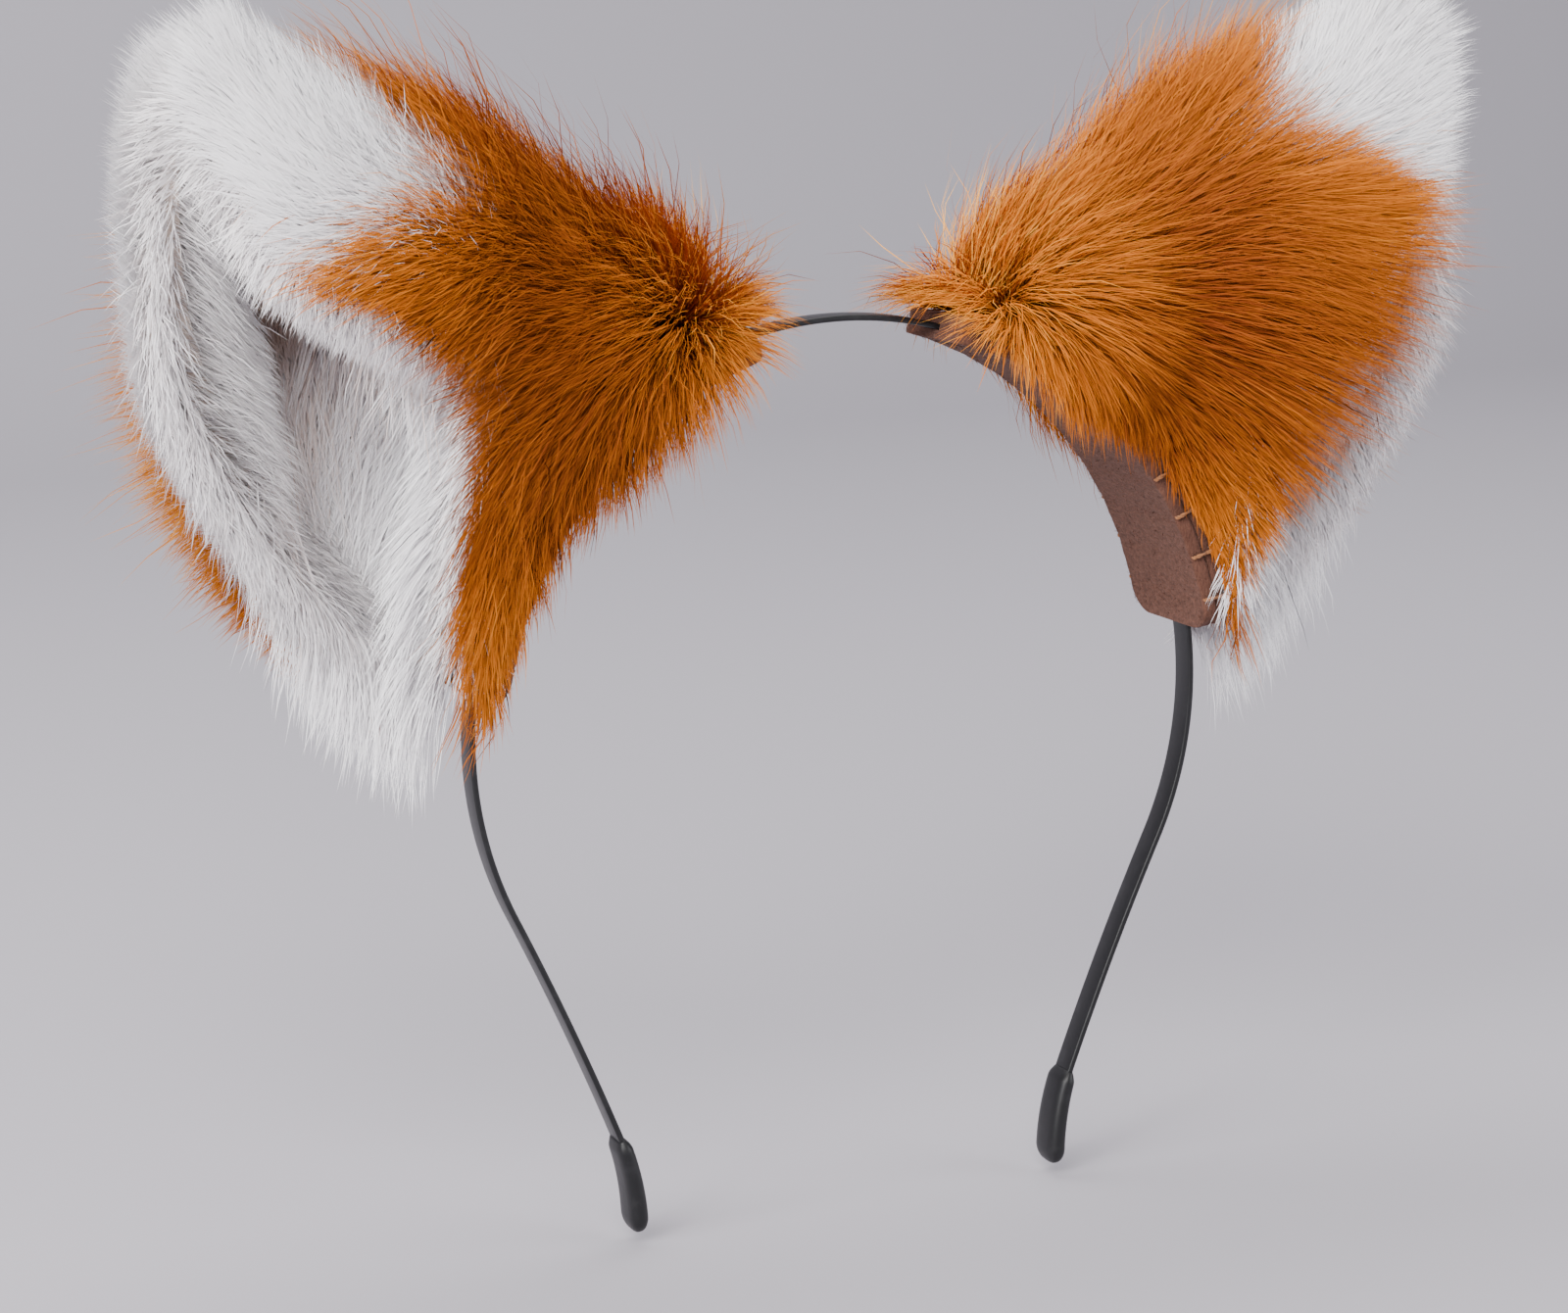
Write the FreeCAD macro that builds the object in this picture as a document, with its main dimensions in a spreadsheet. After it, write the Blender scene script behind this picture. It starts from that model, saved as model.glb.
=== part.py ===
import FreeCAD, Part
import math
import os

# Animal ears headband: a sprung steel hoop with dipped tips and two wired faux-fur ears.
# Origin: the centre of the hoop's round part, where the axis of a head or display ring passes.
# +Z is up, the wearer faces -Y, and X runs along the hoop's span.
# Right-hand pieces (+X) are built once and mirrored to the left.

doc = FreeCAD.newDocument("ears_headband")
sheet = doc.addObject("Spreadsheet::Sheet", "Sizes")

# Driving sizes in millimetres and degrees; angles round the hoop start at the top.
sizes = {
    "band_radius": 66.0,        # centreline of the round part
    "band_width": 5.0,
    "band_thick": 1.0,
    "crown_half_angle": 7.0,    # the crown stretch between the two flex lines
    "flex_gap": 0.3,            # cut between crown and arm
    "arc_angle": 115.6,         # where the round part ends
    "leg_length": 42.8,
    "leg_radius": 555.0,        # nearly straight, turning slightly outward
    "tail_length": 16.5,
    "tail_radius": 47.2,        # tip turned back towards upright
    "cap_length": 17.0,
    "cap_width": 7.4,
    "cap_thick": 3.4,
    "cap_end_wall": 1.6,
    "cap_round": 1.5,
    "base_angle": 48.5,         # middle of an ear's seat on the hoop
    "base_span_angle": 66.0,
    "felt_width": 26.0,
    "pad_thick": 2.0,
    "wrap_thick": 1.6,          # felt under the strip, on the head's side
    "channel_clearance": 0.2,   # each side of the strip
    "felt_corner": 5.0,
    "ear_lean": 45.0,           # ear axis, outward from upright
    "ear_height": 82.0,         # cloth, seat to tip
    "cup_foot": 17.0,           # how far the walls are drawn below the seat before trimming
    "cloth_gap": 0.5,           # outer panel stands this far outside the sewing line
    "lining_gap": 1.4,
    "pile_depth": 12.0,         # orange fur with its backing
    "tip_pile_depth": 10.0,
    "lining_depth": 3.5,
    "seam_height": 57.0,        # where the tip panel is sewn on, up the middle of the cup
    "seam_tilt": 24.0,          # the seam runs down towards the cup's open side
    "seam_gap": 0.8,
    "cup_end_level": 0.93,      # share of the ear height, where the walls meet the tip ball
    "tip_ball_level": 0.95,
    "tip_ball_radius": 14.0,
    "tip_hollow_top": 89.0,     # the hollow inside the tip narrows to here
    "tip_hollow_slope": 0.8,
    "rim_inset": 3.0,           # degrees of the section that the lining stays behind the rim
    "wire_diameter": 1.4,
    "wire_outset": 2.0,         # wire centre beyond the cloth edge
    "wire_foot_level": 0.04,
    "stitch_count": 9,          # on each long edge of the seat
    "stitch_end_angle": 5.0,    # first stitch, in from the felt's end
    "thread_diameter": 0.8,
    "stitch_inset": 1.5,        # needle hole, in from the felt edge
    "hole_clearance": 0.25,
    "thread_gap": 0.05,         # thread above the felt it lies on
}

# Cross-section of the ear cup at five levels, as shares of a superellipse.
# centre along the hoop, centre forward, half length, half depth, front and back rim angle, roundness
levels = ["base", "low", "mid", "high", "top"]
section_words = ["side_shift", "front_shift", "half_long", "half_deep", "front_rim", "back_rim", "round"]
section_sizes = {
    "base": (2.0, 0.0, 36.0, 11.0, 35.0, 325.0, 0.60),
    "low": (8.0, 1.0, 34.0, 16.0, 105.0, 337.0, 0.85),
    "mid": (9.5, 2.0, 30.0, 18.0, 111.0, 343.0, 1.0),
    "high": (8.5, 2.0, 20.0, 14.0, 101.0, 343.0, 1.0),
    "top": (1.0, 0.0, 6.0, 5.0, 105.0, 340.0, 1.0),
}
for level in levels:
    for word, value in zip(section_words, section_sizes[level]):
        sizes[word + "_" + level] = value


# The long tuft at five stations, from inside the cup to beyond the seat's lower end.
# angle round the hoop, height above the pad, forward shift, half width, half depth
tuft_words = ["root", "rise", "mouth", "fall", "ends"]
tuft_parts = ["angle", "above", "front", "wide", "deep"]
tuft_sizes = {
    "root": (54.0, 44.0, 5.0, 6.0, 4.0),
    "rise": (61.0, 24.0, 4.0, 8.0, 5.0),
    "mouth": (72.0, 9.5, 0.0, 5.0, 2.4),
    "fall": (87.0, 13.0, 2.0, 10.5, 9.0),
    "ends": (100.0, 8.0, 3.0, 5.0, 6.0),
}
for station in tuft_words:
    for word, value in zip(tuft_parts, tuft_sizes[station]):
        sizes["tuft_" + word + "_" + station] = value

for row, (alias, value) in enumerate(sizes.items(), start=1):
    sheet.set("A%d" % row, alias)
    sheet.set("B%d" % row, str(value))
    sheet.setAlias("B%d" % row, alias)
doc.recompute()


def size(alias):
    return float(sheet.get(alias))


def vector(x, y, z):
    return FreeCAD.Vector(x, y, z)


half_thick = size("band_thick") / 2
pad_inner = size("band_radius") + half_thick
pad_outer = pad_inner + size("pad_thick")
wrap_inner = size("band_radius") - half_thick - size("wrap_thick")
felt_half = size("felt_width") / 2
seat_start = size("base_angle") - size("base_span_angle") / 2
seat_end = size("base_angle") + size("base_span_angle") / 2


def polar(radius, angle, y=0.0):
    # a point at a radius and an angle from the top of the hoop, towards +X
    turn = math.radians(angle)
    return vector(radius * math.sin(turn), y, radius * math.cos(turn))


# ---------------------------------------------------------------- ring sectors on the hoop's axis

def ring_sector(label, inner, outer, width, start, span):
    # inner, outer, width, start and span are expressions on the sheet
    tubes = []
    for kind, radius in (("outer", outer), ("inner", inner)):
        tube = doc.addObject("Part::Cylinder", label + "_" + kind)
        tube.setExpression("Radius", radius)
        extra = "" if kind == "outer" else " + 2"
        tube.setExpression("Height", width + extra)
        tube.setExpression("Angle", span if kind == "outer" else "360")
        tube.Placement.Rotation = FreeCAD.Rotation(vector(1, 0, 0), -90)
        tube.setExpression("Placement.Base.y", "-(" + width + extra + ") / 2")
        tubes.append(tube)
    # a cylinder turned this way sweeps from +X towards -Z, so it starts 90 degrees after the top
    doc.recompute()
    lay = FreeCAD.Rotation(vector(0, 1, 0), sheet_value(start) - 90)
    base = tubes[0].Placement
    tubes[0].Placement = FreeCAD.Placement(base.Base, lay.multiply(base.Rotation))
    ring = doc.addObject("Part::Cut", label)
    ring.Base = tubes[0]
    ring.Tool = tubes[1]
    doc.recompute()
    return ring


def sheet_value(expression):
    # plain arithmetic on sheet names, worked out by the document itself
    probe = doc.getObject("Probe") or doc.addObject("Part::Box", "Probe")
    probe.setExpression("Length", "500 + " + expression)
    doc.recompute()
    return probe.Length.Value - 500


def corner_edges(ring, radii):
    # the short edges at the four corners, which run radially
    found = []
    for number, edge in enumerate(ring.Shape.Edges, start=1):
        ends = [v.Point for v in edge.Vertexes]
        if len(ends) == 2:
            reach = sorted(math.hypot(p.x, p.z) for p in ends)
            if abs(reach[0] - radii[0]) < 0.01 and abs(reach[1] - radii[1]) < 0.01:
                found.append(number)
    return found


crown = ring_sector(
    "crown_blank",
    "Sizes.band_radius - Sizes.band_thick / 2", "Sizes.band_radius + Sizes.band_thick / 2",
    "Sizes.band_width", "-Sizes.crown_half_angle", "2 * Sizes.crown_half_angle",
)


# ---------------------------------------------------------------- the strip's path from crown to tip

def path_frame(distance):
    # point and outward normal at a distance along the centreline from the top
    radius = size("band_radius")
    arc_length = radius * math.radians(size("arc_angle"))
    angle = size("arc_angle")
    if distance <= arc_length:
        angle = math.degrees(distance / radius)
        point = polar(radius, angle)
        return point, polar(1, angle)
    point = polar(radius, angle)
    distance -= arc_length
    for length, bend in (("leg_length", "leg_radius"), ("tail_length", "tail_radius")):
        run = min(distance, size(length)) if length == "leg_length" else distance
        centre = point + polar(size(bend), angle)
        angle -= math.degrees(run / size(bend))
        point = centre - polar(size(bend), angle)
        distance -= run
        if distance <= 1e-9:
            break
    return point, polar(1, angle)


def flat_on_sketch(point):
    return vector(point.x, point.z, 0)


def strip_body(label, stops, half, width):
    # a strip along the path between the stops, as one padded outline of arcs
    body = doc.addObject("PartDesign::Body", label)
    sketch = body.newObject("Sketcher::SketchObject", label + "_outline")
    plane = next(f for f in body.Origin.OriginFeatures if f.Role == "XZ_Plane")
    sketch.AttachmentSupport = [(plane, "")]
    sketch.MapMode = "FlatFace"
    sides = []
    for side in (1, -1):
        arcs = []
        for begin, finish in zip(stops, stops[1:]):
            spots = []
            for share in (0, 0.5, 1):
                point, normal = path_frame(begin + share * (finish - begin))
                spots.append(flat_on_sketch(point + normal * (side * half)))
            arcs.append(spots)
        sides.append(arcs)
    for arcs in sides:
        for spots in arcs:
            sketch.addGeometry(Part.Arc(*spots), False)
    for index in (0, -1):
        place = 0 if index == 0 else 2
        sketch.addGeometry(Part.LineSegment(sides[0][index][place], sides[1][index][place]), False)
    pad = body.newObject("PartDesign::Pad", label + "_pad")
    pad.Profile = sketch
    pad.setExpression("Length", width)
    pad.SideType = "Symmetric"
    doc.recompute()
    return body, pad


arc_end = size("band_radius") * math.radians(size("arc_angle"))
leg_end = arc_end + size("leg_length")
strip_end = leg_end + size("tail_length")
arm_start = size("band_radius") * math.radians(size("crown_half_angle")) + size("flex_gap")
arm, _ = strip_body(
    "arm_blank", [arm_start, arc_end, leg_end, strip_end], half_thick, "Sizes.band_width")

cap_end = strip_end + size("cap_end_wall")
cap_start = cap_end - size("cap_length")
cap_blank, cap_pad = strip_body(
    "cap_blank", [cap_start, leg_end, cap_end], size("cap_thick") / 2, "Sizes.cap_width")
cap_round = cap_blank.newObject("PartDesign::Fillet", "cap_rounding")
cap_round.Base = (cap_pad, ["Edge%d" % (n + 1) for n in range(len(cap_pad.Shape.Edges))])
cap_round.setExpression("Radius", "Sizes.cap_round")
doc.recompute()
cap = doc.addObject("Part::Cut", "cap_on_strip")
cap.Base = cap_blank
cap.Tool = arm


# ---------------------------------------------------------------- felt seat

seat_words = ("Sizes.base_angle - Sizes.base_span_angle / 2", "Sizes.base_span_angle")
pad_sector = ring_sector(
    "pad_sector", "Sizes.band_radius + Sizes.band_thick / 2",
    "Sizes.band_radius + Sizes.band_thick / 2 + Sizes.pad_thick", "Sizes.felt_width", *seat_words)
wrap_sector = ring_sector(
    "wrap_sector", "Sizes.band_radius - Sizes.band_thick / 2 - Sizes.wrap_thick",
    "Sizes.band_radius + Sizes.band_thick / 2", "Sizes.felt_width", *seat_words)
channel = ring_sector(
    "channel", "Sizes.band_radius - Sizes.band_thick / 2",
    "Sizes.band_radius + Sizes.band_thick / 2 + 1", "Sizes.band_width + 2 * Sizes.channel_clearance",
    "Sizes.base_angle - Sizes.base_span_angle / 2 - 1", "Sizes.base_span_angle + 2")


def round_corners(label, ring, radii):
    rounded = doc.addObject("Part::Fillet", label)
    rounded.Base = ring
    radius = size("felt_corner")
    rounded.Edges = [(number, radius, radius) for number in corner_edges(ring, radii)]
    doc.recompute()
    return rounded


pad_felt = round_corners("pad_felt", pad_sector, (pad_inner, pad_outer))
wrap_felt = round_corners("wrap_felt", wrap_sector, (wrap_inner, pad_inner))

# overcast stitches: thread loops round the felt's long edges, through needle holes
stitch_first = seat_start + size("stitch_end_angle")
stitch_step = (size("base_span_angle") - 2 * size("stitch_end_angle")) / (size("stitch_count") - 1)
stitch_angles = [stitch_first + n * stitch_step for n in range(int(size("stitch_count")))]
stitch_sides = [(angle, side) for side in (-1, 1) for angle in stitch_angles]
thread_half = size("thread_diameter") / 2
thread_out = thread_half + size("thread_gap")
needle_y = felt_half - size("stitch_inset")


def needle_hole(angle, side):
    reach = pad_outer - wrap_inner + 2
    radius = thread_half + size("hole_clearance")
    return Part.makeCylinder(
        radius, reach, polar(wrap_inner - 1, angle, side * needle_y), polar(1, angle))


def thread_groove(angle, side):
    # the thread lies in this groove of the wrap, so that nothing stands out towards the head
    half = thread_half + size("hole_clearance")
    depth = size("thread_gap") + size("thread_diameter") + size("hole_clearance")
    length = felt_half + 1 - needle_y + half
    start = needle_y - half if side > 0 else -felt_half - 1
    block = Part.makeBox(2 * half, length, depth + 1, vector(-half, start, wrap_inner - 1))
    block.Placement = FreeCAD.Placement(vector(0, 0, 0), FreeCAD.Rotation(vector(0, 1, 0), angle))
    return block


def thread_loop(angle, side):
    # four straight threads with round corners, in the plane of the hoop's radius and axis
    reaches = (wrap_inner + thread_out, pad_outer + thread_out)
    rows = (needle_y, felt_half + thread_out)
    corners = [(reaches[0], rows[0]), (reaches[1], rows[0]), (reaches[1], rows[1]), (reaches[0], rows[1])]
    spots = [polar(reach, angle, side * row) for reach, row in corners]
    pieces = []
    for start, finish in zip(spots, spots[1:] + spots[:1]):
        run = finish - start
        pieces.append(Part.makeCylinder(thread_half, run.Length, start, run))
        pieces.append(Part.makeSphere(thread_half, start))
    return pieces[0].fuse(pieces[1:]).removeSplitter()


needle_holes = doc.addObject("Part::Feature", "needle_holes")
needle_holes.Shape = Part.makeCompound([needle_hole(*spot) for spot in stitch_sides])
thread_grooves = doc.addObject("Part::Feature", "thread_grooves")
thread_grooves.Shape = Part.makeCompound([thread_groove(*spot) for spot in stitch_sides])
stitches = doc.addObject("Part::Feature", "thread_loops")
stitches.Shape = Part.makeCompound([thread_loop(*spot) for spot in stitch_sides])


def cut(label, base, tool):
    result = doc.addObject("Part::Cut", label)
    result.Base = base
    result.Tool = tool
    doc.recompute()
    return result


pad = cut("pad_with_holes", pad_felt, needle_holes)
wrap_pierced = cut("wrap_with_holes", cut("wrap_with_channel", wrap_felt, channel), needle_holes)
wrap = cut("wrap_with_grooves", wrap_pierced, thread_grooves)


# ---------------------------------------------------------------- ear cup

seat_centre = polar(pad_outer, size("base_angle"))
up_ear = polar(1, size("ear_lean"))
side_ear = polar(1, size("ear_lean") + 90)
front_ear = vector(0, -1, 0)


def in_ear(up, side, front):
    # height above the seat, distance towards the ear's lower end, distance forward
    return seat_centre + up_ear * up + side_ear * side + front_ear * front


def section_values(level):
    # the section's seven values at a share of the ear height, straight between the five levels
    place = min(max(level, 0.0), 1.0) * (len(levels) - 1)
    low = min(int(place), len(levels) - 2)
    share = place - low
    return [
        (1 - share) * size(word + "_" + levels[low]) + share * size(word + "_" + levels[low + 1])
        for word in section_words
    ]


def section_point(level, angle, offset):
    # a point of the section, moved outward from the sewing line by an offset
    side_shift, front_shift, long, deep, _, _, power = section_values(level)
    turn = math.radians(angle)
    cosine = math.cos(turn)
    sine = math.sin(turn)
    side = long * math.copysign(abs(cosine) ** power, cosine)
    front = deep * math.copysign(abs(sine) ** power, sine)
    out_side = cosine / long
    out_front = sine / deep
    length = math.hypot(out_side, out_front)
    side += side_shift + offset * out_side / length
    front += front_shift + offset * out_front / length
    return in_ear(level * size("ear_height"), side, front)


# every cup wall is drawn through the same levels, so walls side by side never cross
cup_step_count = 6
cup_levels = [size("cup_end_level") * n / cup_step_count for n in range(cup_step_count + 1)]
lining_last = 5
tip_first = 2


def cup_outline(level, inner, outer, inset, place=None):
    # a closed C: outer curve, rim end, inner curve, rim end
    values = section_values(level)
    start = values[4] + inset
    finish = values[5] - inset
    spots = 9
    angles = [start + (finish - start) * n / (spots - 1) for n in range(spots)]
    curves = []
    for offset in (outer, inner):
        points = [section_point(level, angle, offset) for angle in angles]
        if place is not None:
            points = [p + up_ear * (place - level * size("ear_height")) for p in points]
        curve = Part.BSplineCurve()
        curve.interpolate(points)
        curves.append((curve.toShape(), points))
    rim_front = Part.makeLine(curves[0][1][0], curves[1][1][0])
    rim_back = Part.makeLine(curves[0][1][-1], curves[1][1][-1])
    return Part.Wire(Part.sortEdges([curves[0][0], rim_back, curves[1][0], rim_front])[0])


def cup_shell(inner, outer, inset, first, last):
    # walls between two of the shared cup levels; walls from the seat are drawn down past it
    outlines = []
    if first == 0:
        outlines.append(cup_outline(0, inner, outer, inset, -size("cup_foot")))
    for level in cup_levels[first:last + 1]:
        outlines.append(cup_outline(level, inner, outer, inset))
    return Part.makeLoft(outlines, True, True)


def seat_trim(radius):
    length = 4 * size("ear_height")
    return Part.makeCylinder(radius, length, vector(0, -length / 2, 0), vector(0, 1, 0))


def shaped(label, shape):
    piece = doc.addObject("Part::Feature", label)
    piece.Shape = shape
    return piece


stitch_top = pad_outer + thread_out + thread_half + size("cloth_gap")


def seam_block(side):
    # everything above the seam (side 1) or below it (side -1), half a seam gap away from it
    tilt = math.radians(size("seam_tilt"))
    normal = (up_ear * math.cos(tilt) + side_ear * math.sin(tilt)) * side
    middle = section_values(size("seam_height") / size("ear_height"))[0]
    reach = 4 * size("ear_height")
    block = Part.makeBox(reach, reach, reach, vector(-reach / 2, -reach / 2, size("seam_gap") / 2))
    block.Placement = FreeCAD.Placement(
        in_ear(size("seam_height"), middle, 0), FreeCAD.Rotation(vector(0, 0, 1), normal))
    return block


outer_full = cup_shell(size("cloth_gap"), size("pile_depth"), 0, 0, cup_step_count)
outer_panel = shaped("fur_shell", outer_full.cut(seat_trim(stitch_top)).common(seam_block(-1)))

lining_outer = -size("lining_gap")
lining_shape = cup_shell(
    lining_outer - size("lining_depth"), lining_outer, size("rim_inset"), 0, lining_last)
lining = shaped("plush_lining", lining_shape.cut(seat_trim(pad_outer)))


# wire round the rim, from the seat up the front, over the tip and down the back
def rim_point(level, side):
    values = section_values(level)
    angle = values[4] if side > 0 else values[5]
    edge = section_point(level, angle, 0)
    behind = section_point(level, angle + side * 2, 0)
    return edge + (edge - behind).normalize() * size("wire_outset")


def rounded_path(points):
    # straight runs joined by tangent arcs, each as large as its two runs allow
    edges = []
    last = points[0]
    for before, corner, after in zip(points, points[1:], points[2:]):
        back = before - corner
        ahead = after - corner
        reach = 0.45 * min(back.Length, ahead.Length)
        back.normalize()
        ahead.normalize()
        enter = corner + back * reach
        leave = corner + ahead * reach
        half_turn = (math.pi - back.getAngle(ahead)) / 2
        radius = reach / math.tan(half_turn)
        inward = (back + ahead).normalize()
        middle = corner + inward * (radius / math.cos(half_turn) - radius)
        edges.append(Part.makeLine(last, enter))
        edges.append(Part.Arc(enter, middle, leave).toShape())
        last = leave
    edges.append(Part.makeLine(last, points[-1]))
    return Part.Wire(edges)


def tube_along(path, diameter):
    start = path.Edges[0].Vertexes[0].Point
    travel = path.Edges[0].tangentAt(path.Edges[0].FirstParameter)
    profile = Part.Wire([Part.makeCircle(diameter / 2, start, travel)])
    return path.makePipeShell([profile], True, False)


wire_levels = [size("wire_foot_level")] + cup_levels[1:cup_step_count]
wire_points = [rim_point(level, 1) for level in wire_levels]
wire_points.append(in_ear(size("ear_height"), size("side_shift_top"), size("front_shift_top")))
wire_points += [rim_point(level, -1) for level in reversed(wire_levels)]
wire_path = rounded_path(wire_points)
wire_frame = shaped("rim_wire", tube_along(wire_path, size("wire_diameter")))

# the tip closes in a hollow ball, with room for the wire
ball_level = size("tip_ball_level")
ball_values = section_values(ball_level)
ball_centre = in_ear(ball_level * size("ear_height"), ball_values[0], ball_values[1])
ball_radius = size("tip_ball_radius")
hollow_foot = ball_level * size("ear_height") - 1.5 * ball_radius
hollow_deep = size("tip_hollow_top") - hollow_foot
hollow = Part.makeCone(
    hollow_deep * size("tip_hollow_slope"), 0, hollow_deep,
    in_ear(hollow_foot, ball_values[0], ball_values[1]), up_ear)
tip_ball = Part.makeSphere(ball_radius, ball_centre, up_ear).cut(hollow)
tip_shell = cup_shell(
    size("cloth_gap"), size("tip_pile_depth"), 0, tip_first, cup_step_count)
tip_panel = shaped("fur_tip", tip_shell.common(seam_block(1)).fuse(tip_ball).removeSplitter())


# ---------------------------------------------------------------- long fur inside the cup

# each station: angle round the hoop, distance above the pad, forward shift, half width, half depth
def tuft_ring(station, travel):
    angle, above, front, wide, deep = station
    centre = polar(pad_outer + above, angle, -front)
    travel.normalize()
    across = travel.cross(front_ear).normalize()
    return Part.Wire([Part.Ellipse(
        centre + across * max(wide, deep + 0.01), centre + front_ear * deep, centre).toShape()])


tuft_stations = [
    (size("tuft_angle_" + word), size("tuft_above_" + word), size("tuft_front_" + word),
     size("tuft_wide_" + word), size("tuft_deep_" + word)) for word in tuft_words
]
tuft_spots = [polar(pad_outer + s[1], s[0], -s[2]) for s in tuft_stations]
tuft_rings = []
for number, station in enumerate(tuft_stations):
    before = tuft_spots[max(number - 1, 0)]
    after = tuft_spots[min(number + 1, len(tuft_spots) - 1)]
    tuft_rings.append(tuft_ring(station, after - before))
tuft = shaped("long_tuft", Part.makeLoft(tuft_rings, True, False))


# ---------------------------------------------------------------- both sides, checks and files

def mirrored(label, source):
    twin = doc.addObject("Part::Mirroring", label)
    twin.Source = source
    twin.Normal = vector(1, 0, 0)
    return twin


right_pieces = {
    "band_arm": arm, "tip_cap": cap, "base_pad": pad, "base_wrap": wrap, "stitches": stitches,
    "outer_panel": outer_panel, "tip_panel": tip_panel, "lining": lining, "inner_tuft": tuft,
    "wire_frame": wire_frame,
}
pieces = [crown]
crown.Label = "band_crown"
for name, source in right_pieces.items():
    source.Label = name + "_right"
    twin = mirrored(name + "_left", source)
    twin.Label = name + "_left"
    pieces += [source, twin]
doc.removeObject("Probe")
doc.recompute()

for obj in doc.Objects:
    if "Invalid" in obj.State or "Error" in obj.State:
        raise RuntimeError("failed object: " + obj.Name)
os.makedirs("parts", exist_ok=True)
for piece in pieces:
    shape = piece.Shape
    if shape.isNull() or not shape.isValid():
        raise RuntimeError("bad shape: " + piece.Label)
    shape.exportStep("parts/" + piece.Label + ".step")
print("pieces", len(pieces))
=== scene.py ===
import bpy, math, random
import numpy as np
from mathutils import Matrix, Vector


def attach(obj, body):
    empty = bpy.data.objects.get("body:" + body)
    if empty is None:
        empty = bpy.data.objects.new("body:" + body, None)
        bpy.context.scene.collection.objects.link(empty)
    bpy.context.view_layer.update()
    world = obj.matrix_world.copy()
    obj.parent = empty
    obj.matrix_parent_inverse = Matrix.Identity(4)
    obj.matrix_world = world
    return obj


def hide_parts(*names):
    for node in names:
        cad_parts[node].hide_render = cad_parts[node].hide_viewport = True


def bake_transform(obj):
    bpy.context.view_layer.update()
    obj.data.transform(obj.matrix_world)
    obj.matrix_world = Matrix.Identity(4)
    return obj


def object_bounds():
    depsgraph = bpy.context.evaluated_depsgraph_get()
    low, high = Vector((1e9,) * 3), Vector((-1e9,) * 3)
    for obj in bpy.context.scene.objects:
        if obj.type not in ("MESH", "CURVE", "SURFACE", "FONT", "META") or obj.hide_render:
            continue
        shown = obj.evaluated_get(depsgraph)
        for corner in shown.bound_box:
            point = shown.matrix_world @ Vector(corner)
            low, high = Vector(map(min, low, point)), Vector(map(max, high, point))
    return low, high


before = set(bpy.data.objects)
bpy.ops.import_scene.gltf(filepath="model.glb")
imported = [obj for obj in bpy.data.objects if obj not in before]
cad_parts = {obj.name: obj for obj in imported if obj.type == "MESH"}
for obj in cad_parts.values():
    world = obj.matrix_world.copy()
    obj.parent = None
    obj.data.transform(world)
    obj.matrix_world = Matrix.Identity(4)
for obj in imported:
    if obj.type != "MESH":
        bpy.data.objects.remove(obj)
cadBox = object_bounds()
print("frame loaded:", len(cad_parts), "nodes")

mm = 0.001
mirror = {"left": -1.0, "right": 1.0}   # as seen from the front


# shader helpers

def newMaterial(name):
    material = bpy.data.materials.new(name)
    material.use_nodes = True
    material.node_tree.nodes.clear()
    return material


def place(tree, kind, **settings):
    # a node with plain settings and socket values; Name_Of_Input for sockets with spaces
    made = tree.nodes.new(kind)
    for key, value in settings.items():
        if key in made.bl_rna.properties:
            setattr(made, key, value)
        else:
            made.inputs[key.replace("_", " ")].default_value = value
    return made


def link(tree, start, finish):
    tree.links.new(start, finish)


def surfaceOf(material, **values):
    tree = material.node_tree
    shader = place(tree, "ShaderNodeBsdfPrincipled", **values)
    out = place(tree, "ShaderNodeOutputMaterial")
    link(tree, shader.outputs["BSDF"], out.inputs["Surface"])
    return shader


def newGroup(name, inputs, outputs):
    group = bpy.data.node_groups.new(name, "ShaderNodeTree")
    for label, kind, value in inputs:
        socket = group.interface.new_socket(label, in_out="INPUT", socket_type=kind)
        socket.default_value = value
    for label, kind in outputs:
        group.interface.new_socket(label, in_out="OUTPUT", socket_type=kind)
    return group, place(group, "NodeGroupInput"), place(group, "NodeGroupOutput")


def useGroup(tree, group, **values):
    made = tree.nodes.new("ShaderNodeGroup")
    made.node_tree = group
    for key, value in values.items():
        made.inputs[key].default_value = value
    return made


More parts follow.
